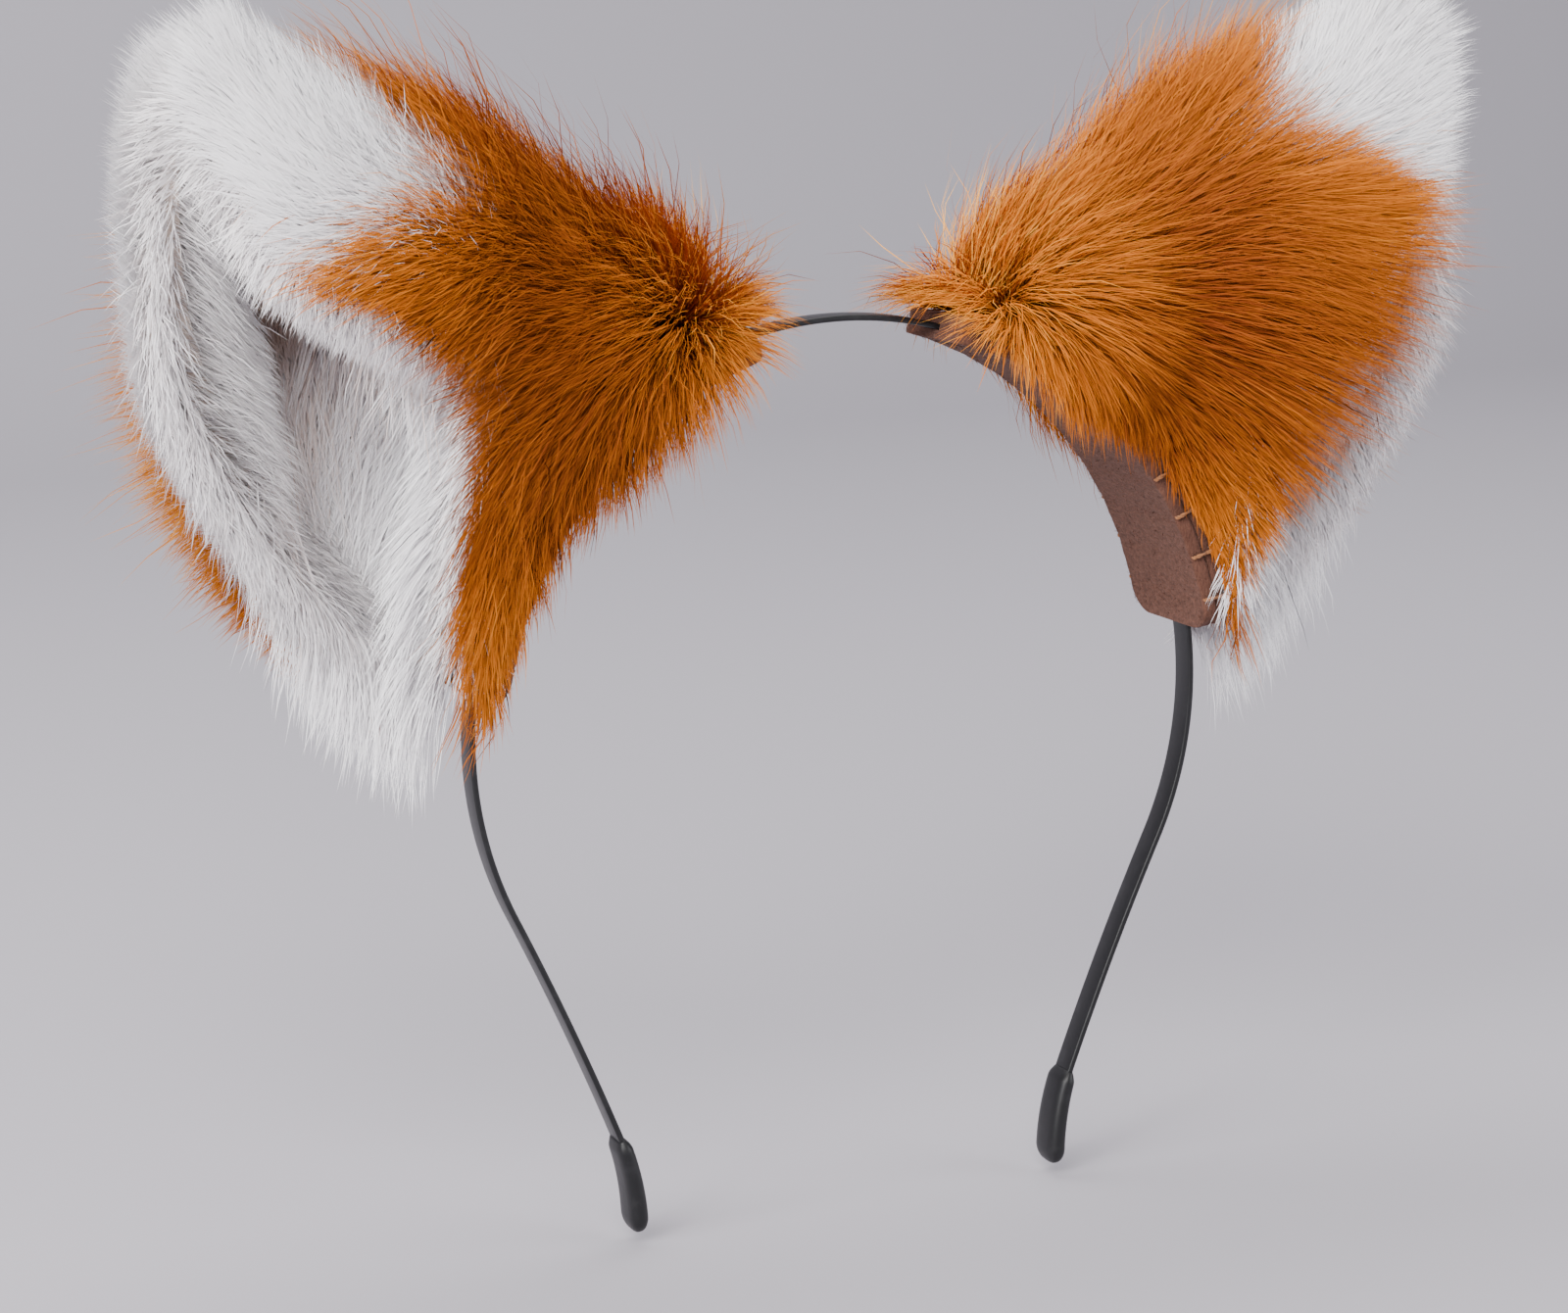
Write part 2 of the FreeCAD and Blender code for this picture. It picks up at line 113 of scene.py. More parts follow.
def makeStrandTint():
    # colour of one fibre from its own shade value (0 to 1) and the way along it (0 root, 1 tip), darkened
    # towards the root as painted shade
    group, taken, given = newGroup(
        "strandTint",
        [("dark", "NodeSocketColor", (0.1, 0.02, 0.01, 1)),
         ("middle", "NodeSocketColor", (0.4, 0.1, 0.02, 1)),
         ("light", "NodeSocketColor", (0.6, 0.3, 0.1, 1)), ("rootShare", "NodeSocketFloat", 0.4),
         ("rootReach", "NodeSocketFloat", 0.6), ("tipGain", "NodeSocketFloat", 0.3)],
        [("Color", "NodeSocketColor"), ("along", "NodeSocketFloat")])
    lay = place(group, "ShaderNodeUVMap", uv_map="OFBake")
    parts = place(group, "ShaderNodeSeparateXYZ")
    link(group, lay.outputs["UV"], parts.inputs["Vector"])
    tipward = place(group, "ShaderNodeMapRange", From_Min=0.45, From_Max=1.0)
    link(group, parts.outputs["Y"], tipward.inputs["Value"])
    link(group, taken.outputs["tipGain"], tipward.inputs["To Max"])
    tone = place(group, "ShaderNodeMath", operation="ADD", use_clamp=True)
    link(group, parts.outputs["X"], tone.inputs[0])
    link(group, tipward.outputs["Result"], tone.inputs[1])
    low = place(group, "ShaderNodeMapRange", From_Max=0.5)
    high = place(group, "ShaderNodeMapRange", From_Min=0.5)
    for ramp in (low, high):
        link(group, tone.outputs["Value"], ramp.inputs["Value"])
    first = place(group, "ShaderNodeMix", data_type="RGBA")
    second = place(group, "ShaderNodeMix", data_type="RGBA")
    link(group, low.outputs["Result"], first.inputs["Factor"])
    link(group, taken.outputs["dark"], first.inputs[6])
    link(group, taken.outputs["middle"], first.inputs[7])
    link(group, high.outputs["Result"], second.inputs["Factor"])
    link(group, first.outputs[2], second.inputs[6])
    link(group, taken.outputs["light"], second.inputs[7])
    # painted shade: each fibre's colour is scaled darker towards its root, standing in for the shade deep in
    # the pile
    shadow = place(group, "ShaderNodeMapRange", interpolation_type="SMOOTHSTEP")
    link(group, parts.outputs["Y"], shadow.inputs["Value"])
    link(group, taken.outputs["rootReach"], shadow.inputs["From Max"])
    link(group, taken.outputs["rootShare"], shadow.inputs["To Min"])
    shaded = place(group, "ShaderNodeVectorMath", operation="SCALE")
    link(group, second.outputs[2], shaded.inputs[0])
    link(group, shadow.outputs["Result"], shaded.inputs["Scale"])
    link(group, shaded.outputs["Vector"], given.inputs["Color"])
    link(group, parts.outputs["Y"], given.inputs["along"])
    return group


strandTint = makeStrandTint()

# each kind of fibre: colours, how dark the painted root shade is and how far up that reaches, gloss and
# sheen
furFinishes = {
    "orangeFur": {"dark": (0.16, 0.022, 0.0012, 1), "middle": (0.56, 0.150, 0.006, 1),
                  "light": (0.98, 0.48, 0.075, 1), "rootShare": 0.45, "rootReach": 0.6,
                  "tipGain": 0.2, "rough": 0.7, "sheen": 0.0, "gloss": 0.15},
    "whiteFur": {"dark": (0.60, 0.42, 0.33, 1), "middle": (0.90, 0.87, 0.89, 1),
                 "light": (0.97, 0.96, 0.98, 1), "rootShare": 0.9, "rootReach": 0.5,
                 "tipGain": 0.1, "rough": 0.65, "sheen": 0.2, "gloss": 0.35},
    "whitePlush": {"dark": (0.42, 0.25, 0.17, 1), "middle": (0.84, 0.75, 0.73, 1),
                   "light": (0.96, 0.94, 0.96, 1), "rootShare": 0.94, "rootReach": 0.5,
                   "tipGain": 0.05, "rough": 0.7, "sheen": 0.2, "gloss": 0.35},
    "feltFibre": {"dark": (0.06, 0.025, 0.016, 1), "middle": (0.13, 0.058, 0.04, 1),
                  "light": (0.24, 0.12, 0.09, 1), "rootShare": 0.9, "rootReach": 0.5,
                  "tipGain": 0.1, "rough": 0.75, "sheen": 0.0, "gloss": 0.15},
}


def makeFurMaterial(name, finish):
    material = newMaterial(name)
    shader = surfaceOf(material, Specular_IOR_Level=finish["gloss"], Sheen_Weight=finish["sheen"],
                       Sheen_Roughness=0.4)
    tree = material.node_tree
    tint = useGroup(tree, strandTint, dark=finish["dark"], middle=finish["middle"],
                    light=finish["light"], rootShare=finish["rootShare"],
                    rootReach=finish["rootReach"], tipGain=finish["tipGain"])
    link(tree, tint.outputs["Color"], shader.inputs["Base Color"])
    rough = place(tree, "ShaderNodeMapRange", To_Min=finish["rough"] + 0.15, To_Max=finish["rough"])
    link(tree, tint.outputs["along"], rough.inputs["Value"])
    link(tree, rough.outputs["Result"], shader.inputs["Roughness"])
    return material


furMaterials = {name: makeFurMaterial(name, finish) for name, finish in furFinishes.items()}

clothFinishes = {
    "rustBacking": {"colour": (0.12, 0.03, 0.008, 1), "second": (0.22, 0.06, 0.015, 1), "sheen": 0.2},
    "whiteBacking": {"colour": (0.62, 0.56, 0.54, 1), "second": (0.78, 0.74, 0.73, 1), "sheen": 0.35},
    "plushBacking": {"colour": (0.50, 0.38, 0.31, 1), "second": (0.70, 0.61, 0.56, 1), "sheen": 0.35},
    "brownFelt": {"colour": (0.070, 0.028, 0.018, 1), "second": (0.15, 0.066, 0.044, 1), "sheen": 0.06},
    "rustThread": {"colour": (0.24, 0.09, 0.035, 1), "second": (0.36, 0.16, 0.07, 1), "sheen": 0.1},
}


def makeFibreGrain():
    # a matted, fibrous mask and a height for cloth and felt
    group, taken, given = newGroup(
        "fibreGrain", [("scale", "NodeSocketFloat", 900.0), ("stretch", "NodeSocketFloat", 4.0)],
        [("mask", "NodeSocketFloat"), ("height", "NodeSocketFloat")])
    where = place(group, "ShaderNodeTexCoord")
    layers = []
    for turn in (0.3, 1.9):
        mapping = place(group, "ShaderNodeMapping")
        mapping.inputs["Rotation"].default_value = (turn, turn * 0.7, turn * 1.3)
        scales = place(group, "ShaderNodeCombineXYZ", Y=1.0, Z=1.0)
        link(group, taken.outputs["stretch"], scales.inputs["X"])
        link(group, scales.outputs["Vector"], mapping.inputs["Scale"])
        link(group, where.outputs["Object"], mapping.inputs["Vector"])
        fibre = place(group, "ShaderNodeTexNoise", Detail=4.0, Roughness=0.65, Distortion=0.6)
        link(group, taken.outputs["scale"], fibre.inputs["Scale"])
        link(group, mapping.outputs["Vector"], fibre.inputs["Vector"])
        layers.append(fibre)
    blend = place(group, "ShaderNodeMath", operation="MAXIMUM")
    for index, fibre in enumerate(layers):
        link(group, fibre.outputs["Fac"], blend.inputs[index])
    sharp = place(group, "ShaderNodeMapRange", From_Min=0.4, From_Max=0.7)
    link(group, blend.outputs["Value"], sharp.inputs["Value"])
    link(group, sharp.outputs["Result"], given.inputs["mask"])
    link(group, blend.outputs["Value"], given.inputs["height"])
    return group


fibreGrain = makeFibreGrain()


def makeClothMaterial(name, finish):
    material = newMaterial(name)
    shader = surfaceOf(material, Roughness=0.9, Specular_IOR_Level=0.15,
                       Sheen_Weight=finish["sheen"], Sheen_Roughness=0.5)
    tree = material.node_tree
    grain = useGroup(tree, fibreGrain, scale=900.0)
    mix = place(tree, "ShaderNodeMix", data_type="RGBA")
    mix.inputs[6].default_value = finish["colour"]
    mix.inputs[7].default_value = finish["second"]
    link(tree, grain.outputs["mask"], mix.inputs["Factor"])
    link(tree, mix.outputs[2], shader.inputs["Base Color"])
    bump = place(tree, "ShaderNodeBump", Strength=0.6, Distance=0.0004)
    link(tree, grain.outputs["height"], bump.inputs["Height"])
    link(tree, bump.outputs["Normal"], shader.inputs["Normal"])
    return material


clothMaterials = {name: makeClothMaterial(name, finish) for name, finish in clothFinishes.items()}


def makeWear():
    # fine rubbed patches and dust specks over a painted or moulded surface
    group, taken, given = newGroup(
        "rubbedWear", [("scale", "NodeSocketFloat", 250.0), ("amount", "NodeSocketFloat", 0.3)],
        [("mask", "NodeSocketFloat"), ("height", "NodeSocketFloat")])
    where = place(group, "ShaderNodeTexCoord")
    broad = place(group, "ShaderNodeTexNoise", Detail=6.0, Roughness=0.7)
    link(group, where.outputs["Object"], broad.inputs["Vector"])
    link(group, taken.outputs["scale"], broad.inputs["Scale"])
    edge = place(group, "ShaderNodeMath", operation="SUBTRACT")
    edge.inputs[0].default_value = 0.78
    link(group, taken.outputs["amount"], edge.inputs[1])
    band = place(group, "ShaderNodeMapRange", From_Max=0.9)
    link(group, broad.outputs["Fac"], band.inputs["Value"])
    link(group, edge.outputs["Value"], band.inputs["From Min"])
    link(group, band.outputs["Result"], given.inputs["mask"])
    link(group, broad.outputs["Fac"], given.inputs["height"])
    return group


rubbedWear = makeWear()

hardFinishes = {
    "blackPaint": {"colour": (0.007, 0.007, 0.008, 1), "worn": (0.025, 0.025, 0.028, 1), "smooth": 0.28,
                   "rough": 0.45, "bump": 0.00005, "coat": 0.0, "gloss": 0.35},
    "dippedRubber": {"colour": (0.006, 0.006, 0.007, 1), "worn": (0.02, 0.02, 0.022, 1), "smooth": 0.34,
                     "rough": 0.5, "bump": 0.00012, "coat": 0.0, "gloss": 0.35},
    "bareWire": {"colour": (0.42, 0.42, 0.44, 1), "worn": (0.30, 0.28, 0.26, 1), "smooth": 0.3,
                 "rough": 0.5, "bump": 0.00005, "coat": 0.0, "gloss": 0.5},
}


def makeHardMaterial(name, finish, metallic=0.0):
    material = newMaterial(name)
    shader = surfaceOf(material, Metallic=metallic, Specular_IOR_Level=finish["gloss"],
                       Coat_Weight=finish["coat"], Coat_Roughness=0.15)
    tree = material.node_tree
    wear = useGroup(tree, rubbedWear, scale=260.0, amount=0.25)
    mix = place(tree, "ShaderNodeMix", data_type="RGBA")
    mix.inputs[6].default_value = finish["colour"]
    mix.inputs[7].default_value = finish["worn"]
    link(tree, wear.outputs["mask"], mix.inputs["Factor"])
    link(tree, mix.outputs[2], shader.inputs["Base Color"])
    rough = place(tree, "ShaderNodeMapRange", To_Min=finish["smooth"], To_Max=finish["rough"])
    link(tree, wear.outputs["height"], rough.inputs["Value"])
    link(tree, rough.outputs["Result"], shader.inputs["Roughness"])
    bump = place(tree, "ShaderNodeBump", Strength=0.5, Distance=finish["bump"])
    link(tree, wear.outputs["height"], bump.inputs["Height"])
    link(tree, bump.outputs["Normal"], shader.inputs["Normal"])
    return material


hardMaterials = {name: makeHardMaterial(name, finish, 1.0 if name == "bareWire" else 0.0)
                 for name, finish in hardFinishes.items()}
print("materials made")


# the hoop: one strip, round over the head, then nearly straight legs with turned tips

hoop = {
    "radius": 66.0 * mm, "width": 5.0 * mm, "thick": 1.0 * mm, "edgeRound": 0.35 * mm,
    "arcAngle": 115.6, "legLength": 42.8 * mm, "legRadius": 555.0 * mm,
    "tailLength": 16.5 * mm, "tailRadius": 47.2 * mm,
}
arcLength = hoop["radius"] * math.radians(hoop["arcAngle"])
stripLength = arcLength + hoop["legLength"] + hoop["tailLength"]


def polar(radius, angle, y=0.0):
    turn = math.radians(angle)
    return Vector((radius * math.sin(turn), y, radius * math.cos(turn)))


def stripFrame(distance):
    # point, travel and outward normal at a distance from the crown
    if distance <= arcLength:
        angle = math.degrees(distance / hoop["radius"])
        return polar(hoop["radius"], angle), polar(1, angle + 90), polar(1, angle)
    angle = hoop["arcAngle"]
    point = polar(hoop["radius"], angle)
    left = distance - arcLength
    for length, bend in ((hoop["legLength"], hoop["legRadius"]), (1.0, hoop["tailRadius"])):
        run = min(left, length)
        centre = point + polar(bend, angle)
        angle -= math.degrees(run / bend)
        point = centre - polar(bend, angle)
        left -= run
        if left <= 0:
            break
    return point, polar(1, angle + 90), polar(1, angle)


def addMesh(name, vertices, faces, material, body, smooth=True):
    mesh = bpy.data.meshes.new(name)
    mesh.from_pydata([tuple(v) for v in vertices], [], faces)
    mesh.validate()
    mesh.update()
    mesh.polygons.foreach_set("use_smooth", [smooth] * len(mesh.polygons))
    mesh.materials.append(material)
    piece = bpy.data.objects.new(name, mesh)
    bpy.context.collection.objects.link(piece)
    if body:
        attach(piece, body)
    return piece


def loftRings(rings, closeStart=True, closeEnd=True):
    # rings of equal count joined by quads, with fans at the ends
    count = len(rings[0])
    vertices = [v for ring in rings for v in ring]
    faces = []
    for row in range(len(rings) - 1):
        for n in range(count):
            a, b = row * count + n, row * count + (n + 1) % count
            faces.append((a, b, b + count, a + count))
    if closeStart:
        faces.append(tuple(reversed(range(count))))
    if closeEnd:
        faces.append(tuple(range((len(rings) - 1) * count, len(rings) * count)))
    return vertices, faces


def stripRing(distance, width, thick, edge, corner=3):
    # a rectangle with round corners, across the strip
    point, _, normal = stripFrame(distance)
    across = Vector((0, 1, 0))
    ring = []
    for quarter, (sideY, sideN) in enumerate(((1, 1), (-1, 1), (-1, -1), (1, -1))):
        for n in range(corner + 1):
            turn = math.radians(90 * (quarter + n / corner))
            y = sideY * (width / 2 - edge) + edge * math.cos(turn)
            out = sideN * (thick / 2 - edge) + edge * math.sin(turn)
            ring.append(point + across * y + normal * out)
    return ring


def mirrored(vertices, faces, sign):
    if sign > 0:
        return vertices, faces
    return [(-v[0], v[1], v[2]) for v in vertices], [tuple(reversed(f)) for f in faces]


# angles each side of the crown's middle, worked out below but not used, with the strip's ring count and how
# short of its end it stops
flexZone = {"middle": 7.0, "half": 4.0, "stops": 150, "insideCap": 1 * mm}
for side, sign in mirror.items():
    stops = np.linspace(0, stripLength - flexZone["insideCap"], flexZone["stops"])
    rings = [stripRing(d, hoop["width"], hoop["thick"], hoop["edgeRound"]) for d in stops]
    vertices, faces = mirrored(*loftRings(rings, closeStart=False), sign)
    strip = addMesh("band_" + side, vertices, faces, hardMaterials["blackPaint"], None)
    swap = ["band_arm_" + side] + (["band_crown"] if side == "right" else [])
    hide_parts(*swap)
    ends = [polar(hoop["radius"], flexZone["middle"] + d) for d in (-flexZone["half"], flexZone["half"])]
    for end in ends:
        end.x *= sign
    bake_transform(strip)

# dipped tips: a swelling sleeve with a thin lip where the dip ended, closed and round below

tipCap = {"length": 17.0 * mm, "width": 7.4 * mm, "thick": 3.4 * mm, "past": 1.6 * mm,
          "lip": 2.2 * mm, "roundEnd": 3.0 * mm}


def capRing(distance, share, points=28):
    point, _, normal = stripFrame(distance)
    wide = tipCap["width"] / 2 * share[0]
    thick = tipCap["thick"] / 2 * share[1]
    ring = []
    for n in range(points):
        turn = 2 * math.pi * n / points
        y = wide * math.copysign(abs(math.cos(turn)) ** 0.62, math.cos(turn))
        out = thick * math.copysign(abs(math.sin(turn)) ** 0.8, math.sin(turn))
        ring.append(point + Vector((0, y, 0)) + normal * out)
    return ring


for side, sign in mirror.items():
    end = stripLength + tipCap["past"]
    start = end - tipCap["length"]
    rings = []
    for n in range(9):   # the lip
        part = n / 8
        swell = math.sin(part * math.pi / 2)
        rings.append(capRing(start + part * tipCap["lip"], (0.72 + 0.22 * swell, 0.40 + 0.50 * swell)))
    for n in range(1, 13):
        part = n / 12
        swell = 0.94 + 0.06 * math.sin(part * math.pi / 2)
        straight = tipCap["length"] - tipCap["lip"] - tipCap["roundEnd"]
        rings.append(capRing(start + tipCap["lip"] + part * straight, (swell, 0.90 + 0.10 * part)))
    for n in range(1, 10):   # the round end
        turn = n / 9 * math.pi / 2 * 0.985
        rings.append(capRing(end - tipCap["roundEnd"] + tipCap["roundEnd"] * math.sin(turn),
                             (0.12 + 0.88 * math.cos(turn) ** 0.8, 0.05 + 0.95 * math.cos(turn))))
    vertices, faces = mirrored(*loftRings(rings), sign)
    cap = addMesh("tip_sleeve_" + side, vertices, faces, hardMaterials["dippedRubber"],
                  side + "_side")
    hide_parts("tip_cap_" + side)
print("hoop made")


# the felt seat: a pad on the strip and a channelled wrap under it, sewn with overcast threads

feltSeat = {
    "middle": 48.5, "span": 66.0, "halfWidth": 13.0 * mm, "corner": 5.0 * mm, "edge": 0.6 * mm,
    "padInner": 66.5 * mm, "padOuter": 68.5 * mm, "wrapInner": 63.9 * mm,
    "channelHalf": 2.7 * mm, "channelFloor": 65.4 * mm,
    "fuzzCount": 9000, "fuzzLength": 1.1 * mm, "fuzzWidth": 0.07 * mm,
}
overcast = {
    "loops": 9, "endAngle": 5.0, "needle": 11.5 * mm, "gap": 0.45 * mm, "plyRadius": 0.21 * mm,
    "plyOffset": 0.17 * mm, "turns": 5.0, "lean": 0.25, "bite": 0.16 * mm,
}


def feltWidth(run, length):
    # half width at a run along the felt, with round corners at both ends
    into = max(feltSeat["corner"] - min(run, length - run), 0)
    corner = feltSeat["corner"]
    return feltSeat["halfWidth"] - corner + math.sqrt(max(corner ** 2 - into ** 2, 0))


def feltSection(half, low, high, channel):
    # (across, out) points of the felt's cross-section, round at the long edges
    edge = min(feltSeat["edge"], (high - low) / 2 * 0.95)
    points = []
    for quarter, (sideY, out) in enumerate(((1, high), (-1, high), (-1, low), (1, low))):
        if channel and quarter == 1:
            reach, floor = feltSeat["channelHalf"], feltSeat["channelFloor"]
            points += [(reach, high), (reach, floor), (-reach, floor), (-reach, high)]
        for n in range(4):
            turn = math.radians(90 * (quarter + n / 3))
            inner = out - edge if out == high else out + edge
            points.append((sideY * (half - edge) + edge * math.cos(turn), inner + edge * math.sin(turn)))
    return points


def stitchAngles():
    first = feltSeat["middle"] - feltSeat["span"] / 2 + overcast["endAngle"]
    step = (feltSeat["span"] - 2 * overcast["endAngle"]) / (overcast["loops"] - 1)
    return [first + n * step for n in range(overcast["loops"])]


def makeFelt(side, sign, name, low, high, channel):
    start = feltSeat["middle"] - feltSeat["span"] / 2
    length = math.radians(feltSeat["span"]) * high
    near = [0.02, 0.15, 0.5, 1.0, 1.8, 2.8, 3.9, 5.0]   # close rings where the corners turn
    runs = [n * mm for n in near] + list(np.linspace(6 * mm, length - 6 * mm, 110))
    runs += [length - n * mm for n in reversed(near)]
    rings = []
    for run in runs:
        angle = start + feltSeat["span"] * run / length
        pinch = sum(math.exp(-((angle - stitch) / 1.1) ** 2) for stitch in stitchAngles())
        half = feltWidth(run, length) - overcast["bite"] * pinch
        swell = 0.05 * mm * math.sin(run / mm * 0.9) + 0.04 * mm * math.sin(run / mm * 2.3 + 1)
        ring = []
        for across, out in feltSection(max(half + swell, 2.8 * mm), low, high, channel):
            squeeze = overcast["bite"] * pinch * ease(abs(across), 8 * mm, 11.5 * mm)
            middle = (low + high) / 2
            out = middle + (out - middle) * (1 - squeeze / (high - low))
            ring.append(polar(out, angle, -across))
        rings.append(ring)
    vertices, faces = mirrored(*loftRings(rings), sign)
    piece = addMesh(name + side, vertices, faces, clothMaterials["brownFelt"], side + "_side",
                    smooth=False)
    return piece


def growFuzz(side, sign):
    # short loose fibres over the felt's underside and long edges
    rng = np.random.default_rng(131 + int(sign))
    count = feltSeat["fuzzCount"]
    angle = np.radians(feltSeat["middle"] + rng.uniform(-0.485, 0.485, count) * feltSeat["span"])
    outward = np.stack([np.sin(angle), np.zeros(count), np.cos(angle)], 1)
    onEdge = rng.uniform(0, 1, count) < 0.4
    across = np.where(onEdge, rng.choice([-1, 1], count) * 12.7 * mm, rng.uniform(-12.4, 12.4, count) * mm)
    out = np.where(onEdge, rng.uniform(64.2, 68.3, count) * mm, feltSeat["wrapInner"] + 0.1 * mm)
    root = outward * out[:, None] + np.array([0, 1, 0]) * across[:, None]
    normal = np.where(onEdge[:, None], np.sign(across)[:, None] * np.array([0.0, 1.0, 0.0]), -outward)
    fuzz = {"segments": 2, "splay": 60.0, "liftRoot": 35.0, "liftTip": -20.0, "liftSpread": 14.0,
            "waveSize": 9 * mm, "waveTurn": 40.0, "seed": 17, "sag": 0.0, "kink": 0.3, "perTuft": 12,
            "gather": 0.1, "tuftSpread": 0.9}
    flow = rng.normal(size=(count, 3))
    lengths = feltSeat["fuzzLength"] * rng.uniform(0.5, 1.2, count)
    paths = growStrands(rng, root, normal, flow, lengths, fuzz, clear=False)
    return ribbonMesh("felt_fuzz_" + side, paths, normal, rng.uniform(0.2, 0.8, count),
                      feltSeat["fuzzWidth"], rng, furMaterials["feltFibre"], side + "_side",
                      sign)


def makeThreads(side, sign):
    # each loop is two plies twisted together, round the felt's edge and through its needle hole
    rng = random.Random(211 + int(sign))
    low, high = feltSeat["wrapInner"] + overcast["gap"], feltSeat["padOuter"] + overcast["gap"]
    near, far = overcast["needle"], feltSeat["halfWidth"] + overcast["gap"]
    vertices, faces = [], []
    for angle in stitchAngles():
        for edge in (-1, 1):
            lean = overcast["lean"] * rng.uniform(0.4, 1.6)
            knots = []
            for share in range(40):
                turn = 2 * math.pi * share / 40
                acrossShare = math.copysign(abs(math.cos(turn)) ** 0.45, math.cos(turn))
                outShare = math.copysign(abs(math.sin(turn)) ** 0.45, math.sin(turn))
                across = edge * ((near + far) / 2 + (far - near) / 2 * acrossShare)
                out = (low + high) / 2 + (high - low) / 2 * outShare
                knots.append(np.array(polar(out, angle + lean * outShare * acrossShare, across)))
            knots = np.array(knots + knots[:1])
            travel = unit(np.gradient(knots, axis=0))
            firstSide = unit(np.cross(travel, np.array(polar(1, angle + 90))))
            secondSide = np.cross(travel, firstSide)
            for ply in (0.0, math.pi):
                twist = np.linspace(0, 2 * math.pi * overcast["turns"], len(knots)) + ply
                shift = firstSide * np.cos(twist)[:, None] + secondSide * np.sin(twist)[:, None]
                rings = tubeRings(knots + shift * overcast["plyOffset"], overcast["plyRadius"], 6)
                more, walls = loftRings(rings)
                faces += [tuple(v + len(vertices) for v in face) for face in walls]
                vertices += more
    vertices, faces = mirrored(vertices, faces, sign)
    threads = addMesh("overcast_thread_" + side, vertices, faces, clothMaterials["rustThread"],
                      side + "_side")
    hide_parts("stitches_" + side)


# the ear cup: section sizes at five even levels from seat to tip

earShape = {
    "height": 80.5 * mm, "lean": 45.0, "seatAngle": 48.5, "seatRadius": 68.5 * mm,
    "sideShift": [2.0, 8.0, 9.5, 7.5, -1.5], "frontShift": [0.0, 1.0, 2.0, 2.0, 0.0],
    "halfLong": [36.0, 34.0, 30.0, 21.0, 9.0], "halfDeep": [11.0, 16.0, 18.0, 14.0, 5.0],
    "frontRim": [35.0, 105.0, 111.0, 101.0, 105.0], "backRim": [325.0, 337.0, 343.0, 343.0, 340.0],
    "round": [0.6, 0.85, 1.0, 1.0, 1.0],
}
upEar = np.array(polar(1, earShape["lean"]))
sideEar = np.array(polar(1, earShape["lean"] + 90))
frontEar = np.array([0.0, -1.0, 0.0])
seatCentre = np.array(polar(earShape["seatRadius"], earShape["seatAngle"]))
down = np.array([0.0, 0.0, -1.0])


def smoothAlong(values, level):
    # a smooth curve through evenly spaced values
    values = np.asarray(values, float)
    spot = np.clip(level, 0, 1) * (len(values) - 1)
    low = np.clip(spot.astype(int), 0, len(values) - 2)
    share = spot - low
    padded = np.concatenate([[2 * values[0] - values[1]], values, [2 * values[-1] - values[-2]]])
    a, b, c, d = (padded[low + n] for n in range(4))
    curve = 2 * a - 5 * b + 4 * c - d + share * (3 * (b - c) + d - a)
    return b + 0.5 * share * (c - a + share * curve)


def cupPoint(level, around, offset=0.0):
    # a point of the cup: level 0 seat to 1 tip, around 0 front rim to 1 back rim, right-hand ear
    level = np.asarray(level, float)
    got = {word: smoothAlong(earShape[word], level) for word in
           ("sideShift", "frontShift", "halfLong", "halfDeep", "frontRim", "backRim", "round")}
    angle = np.radians(got["frontRim"] + (got["backRim"] - got["frontRim"]) * around)
    cosine, sine = np.cos(angle), np.sin(angle)
    long, deep = got["halfLong"] * mm, got["halfDeep"] * mm
    across = long * np.sign(cosine) * np.abs(cosine) ** got["round"]
    front = deep * np.sign(sine) * np.abs(sine) ** got["round"]
    outAcross, outFront = cosine / long, sine / deep
    size = np.hypot(outAcross, outFront)
    across = across + got["sideShift"] * mm + offset * outAcross / size
    front = front + got["frontShift"] * mm + offset * outFront / size
    tilt = math.radians(earShape["seatAngle"] - earShape["lean"])
    drop = np.sqrt(np.maximum(earShape["seatRadius"] ** 2 - (
        across + earShape["seatRadius"] * math.sin(tilt)) ** 2, 0)) - earShape["seatRadius"] * math.cos(tilt)
    climb = (1 - level) * drop + level * earShape["height"]
    return (seatCentre + climb[..., None] * upEar + across[..., None] * sideEar
            + front[..., None] * frontEar)


def cupFrame(level, around, offset=0.0):
    # point, outward normal, the way up the cup, the way round towards the back rim, and area per share
    step = 1e-3
    point = cupPoint(level, around, offset)
    climb = (cupPoint(level + step, around, offset) - cupPoint(level - step, around, offset)) / (2 * step)
    ring = (cupPoint(level, around + step, offset) - cupPoint(level, around - step, offset)) / (2 * step)
    normal = np.cross(climb, ring)
    area = np.linalg.norm(normal, axis=-1)
    return point, unit(normal), unit(climb), unit(ring), area


def unit(vectors):
    return vectors / np.maximum(np.linalg.norm(vectors, axis=-1, keepdims=True), 1e-12)


def earSpots(points):
    # heights, side distances and forward distances about the right-hand seat
    away = points - seatCentre
    return away @ upEar, away @ sideEar, away @ frontEar


def waves(points, scale, seed, count=5):
    # smooth random vectors over space
    rng = np.random.default_rng(seed)
    out = np.zeros_like(points)
    for _ in range(count):
        wave = rng.normal(size=3) * (2.2 / scale)
        phase = rng.uniform(0, 2 * math.pi, 3)
        out += np.sin((points @ wave)[:, None] + phase)
    return out / math.sqrt(count)


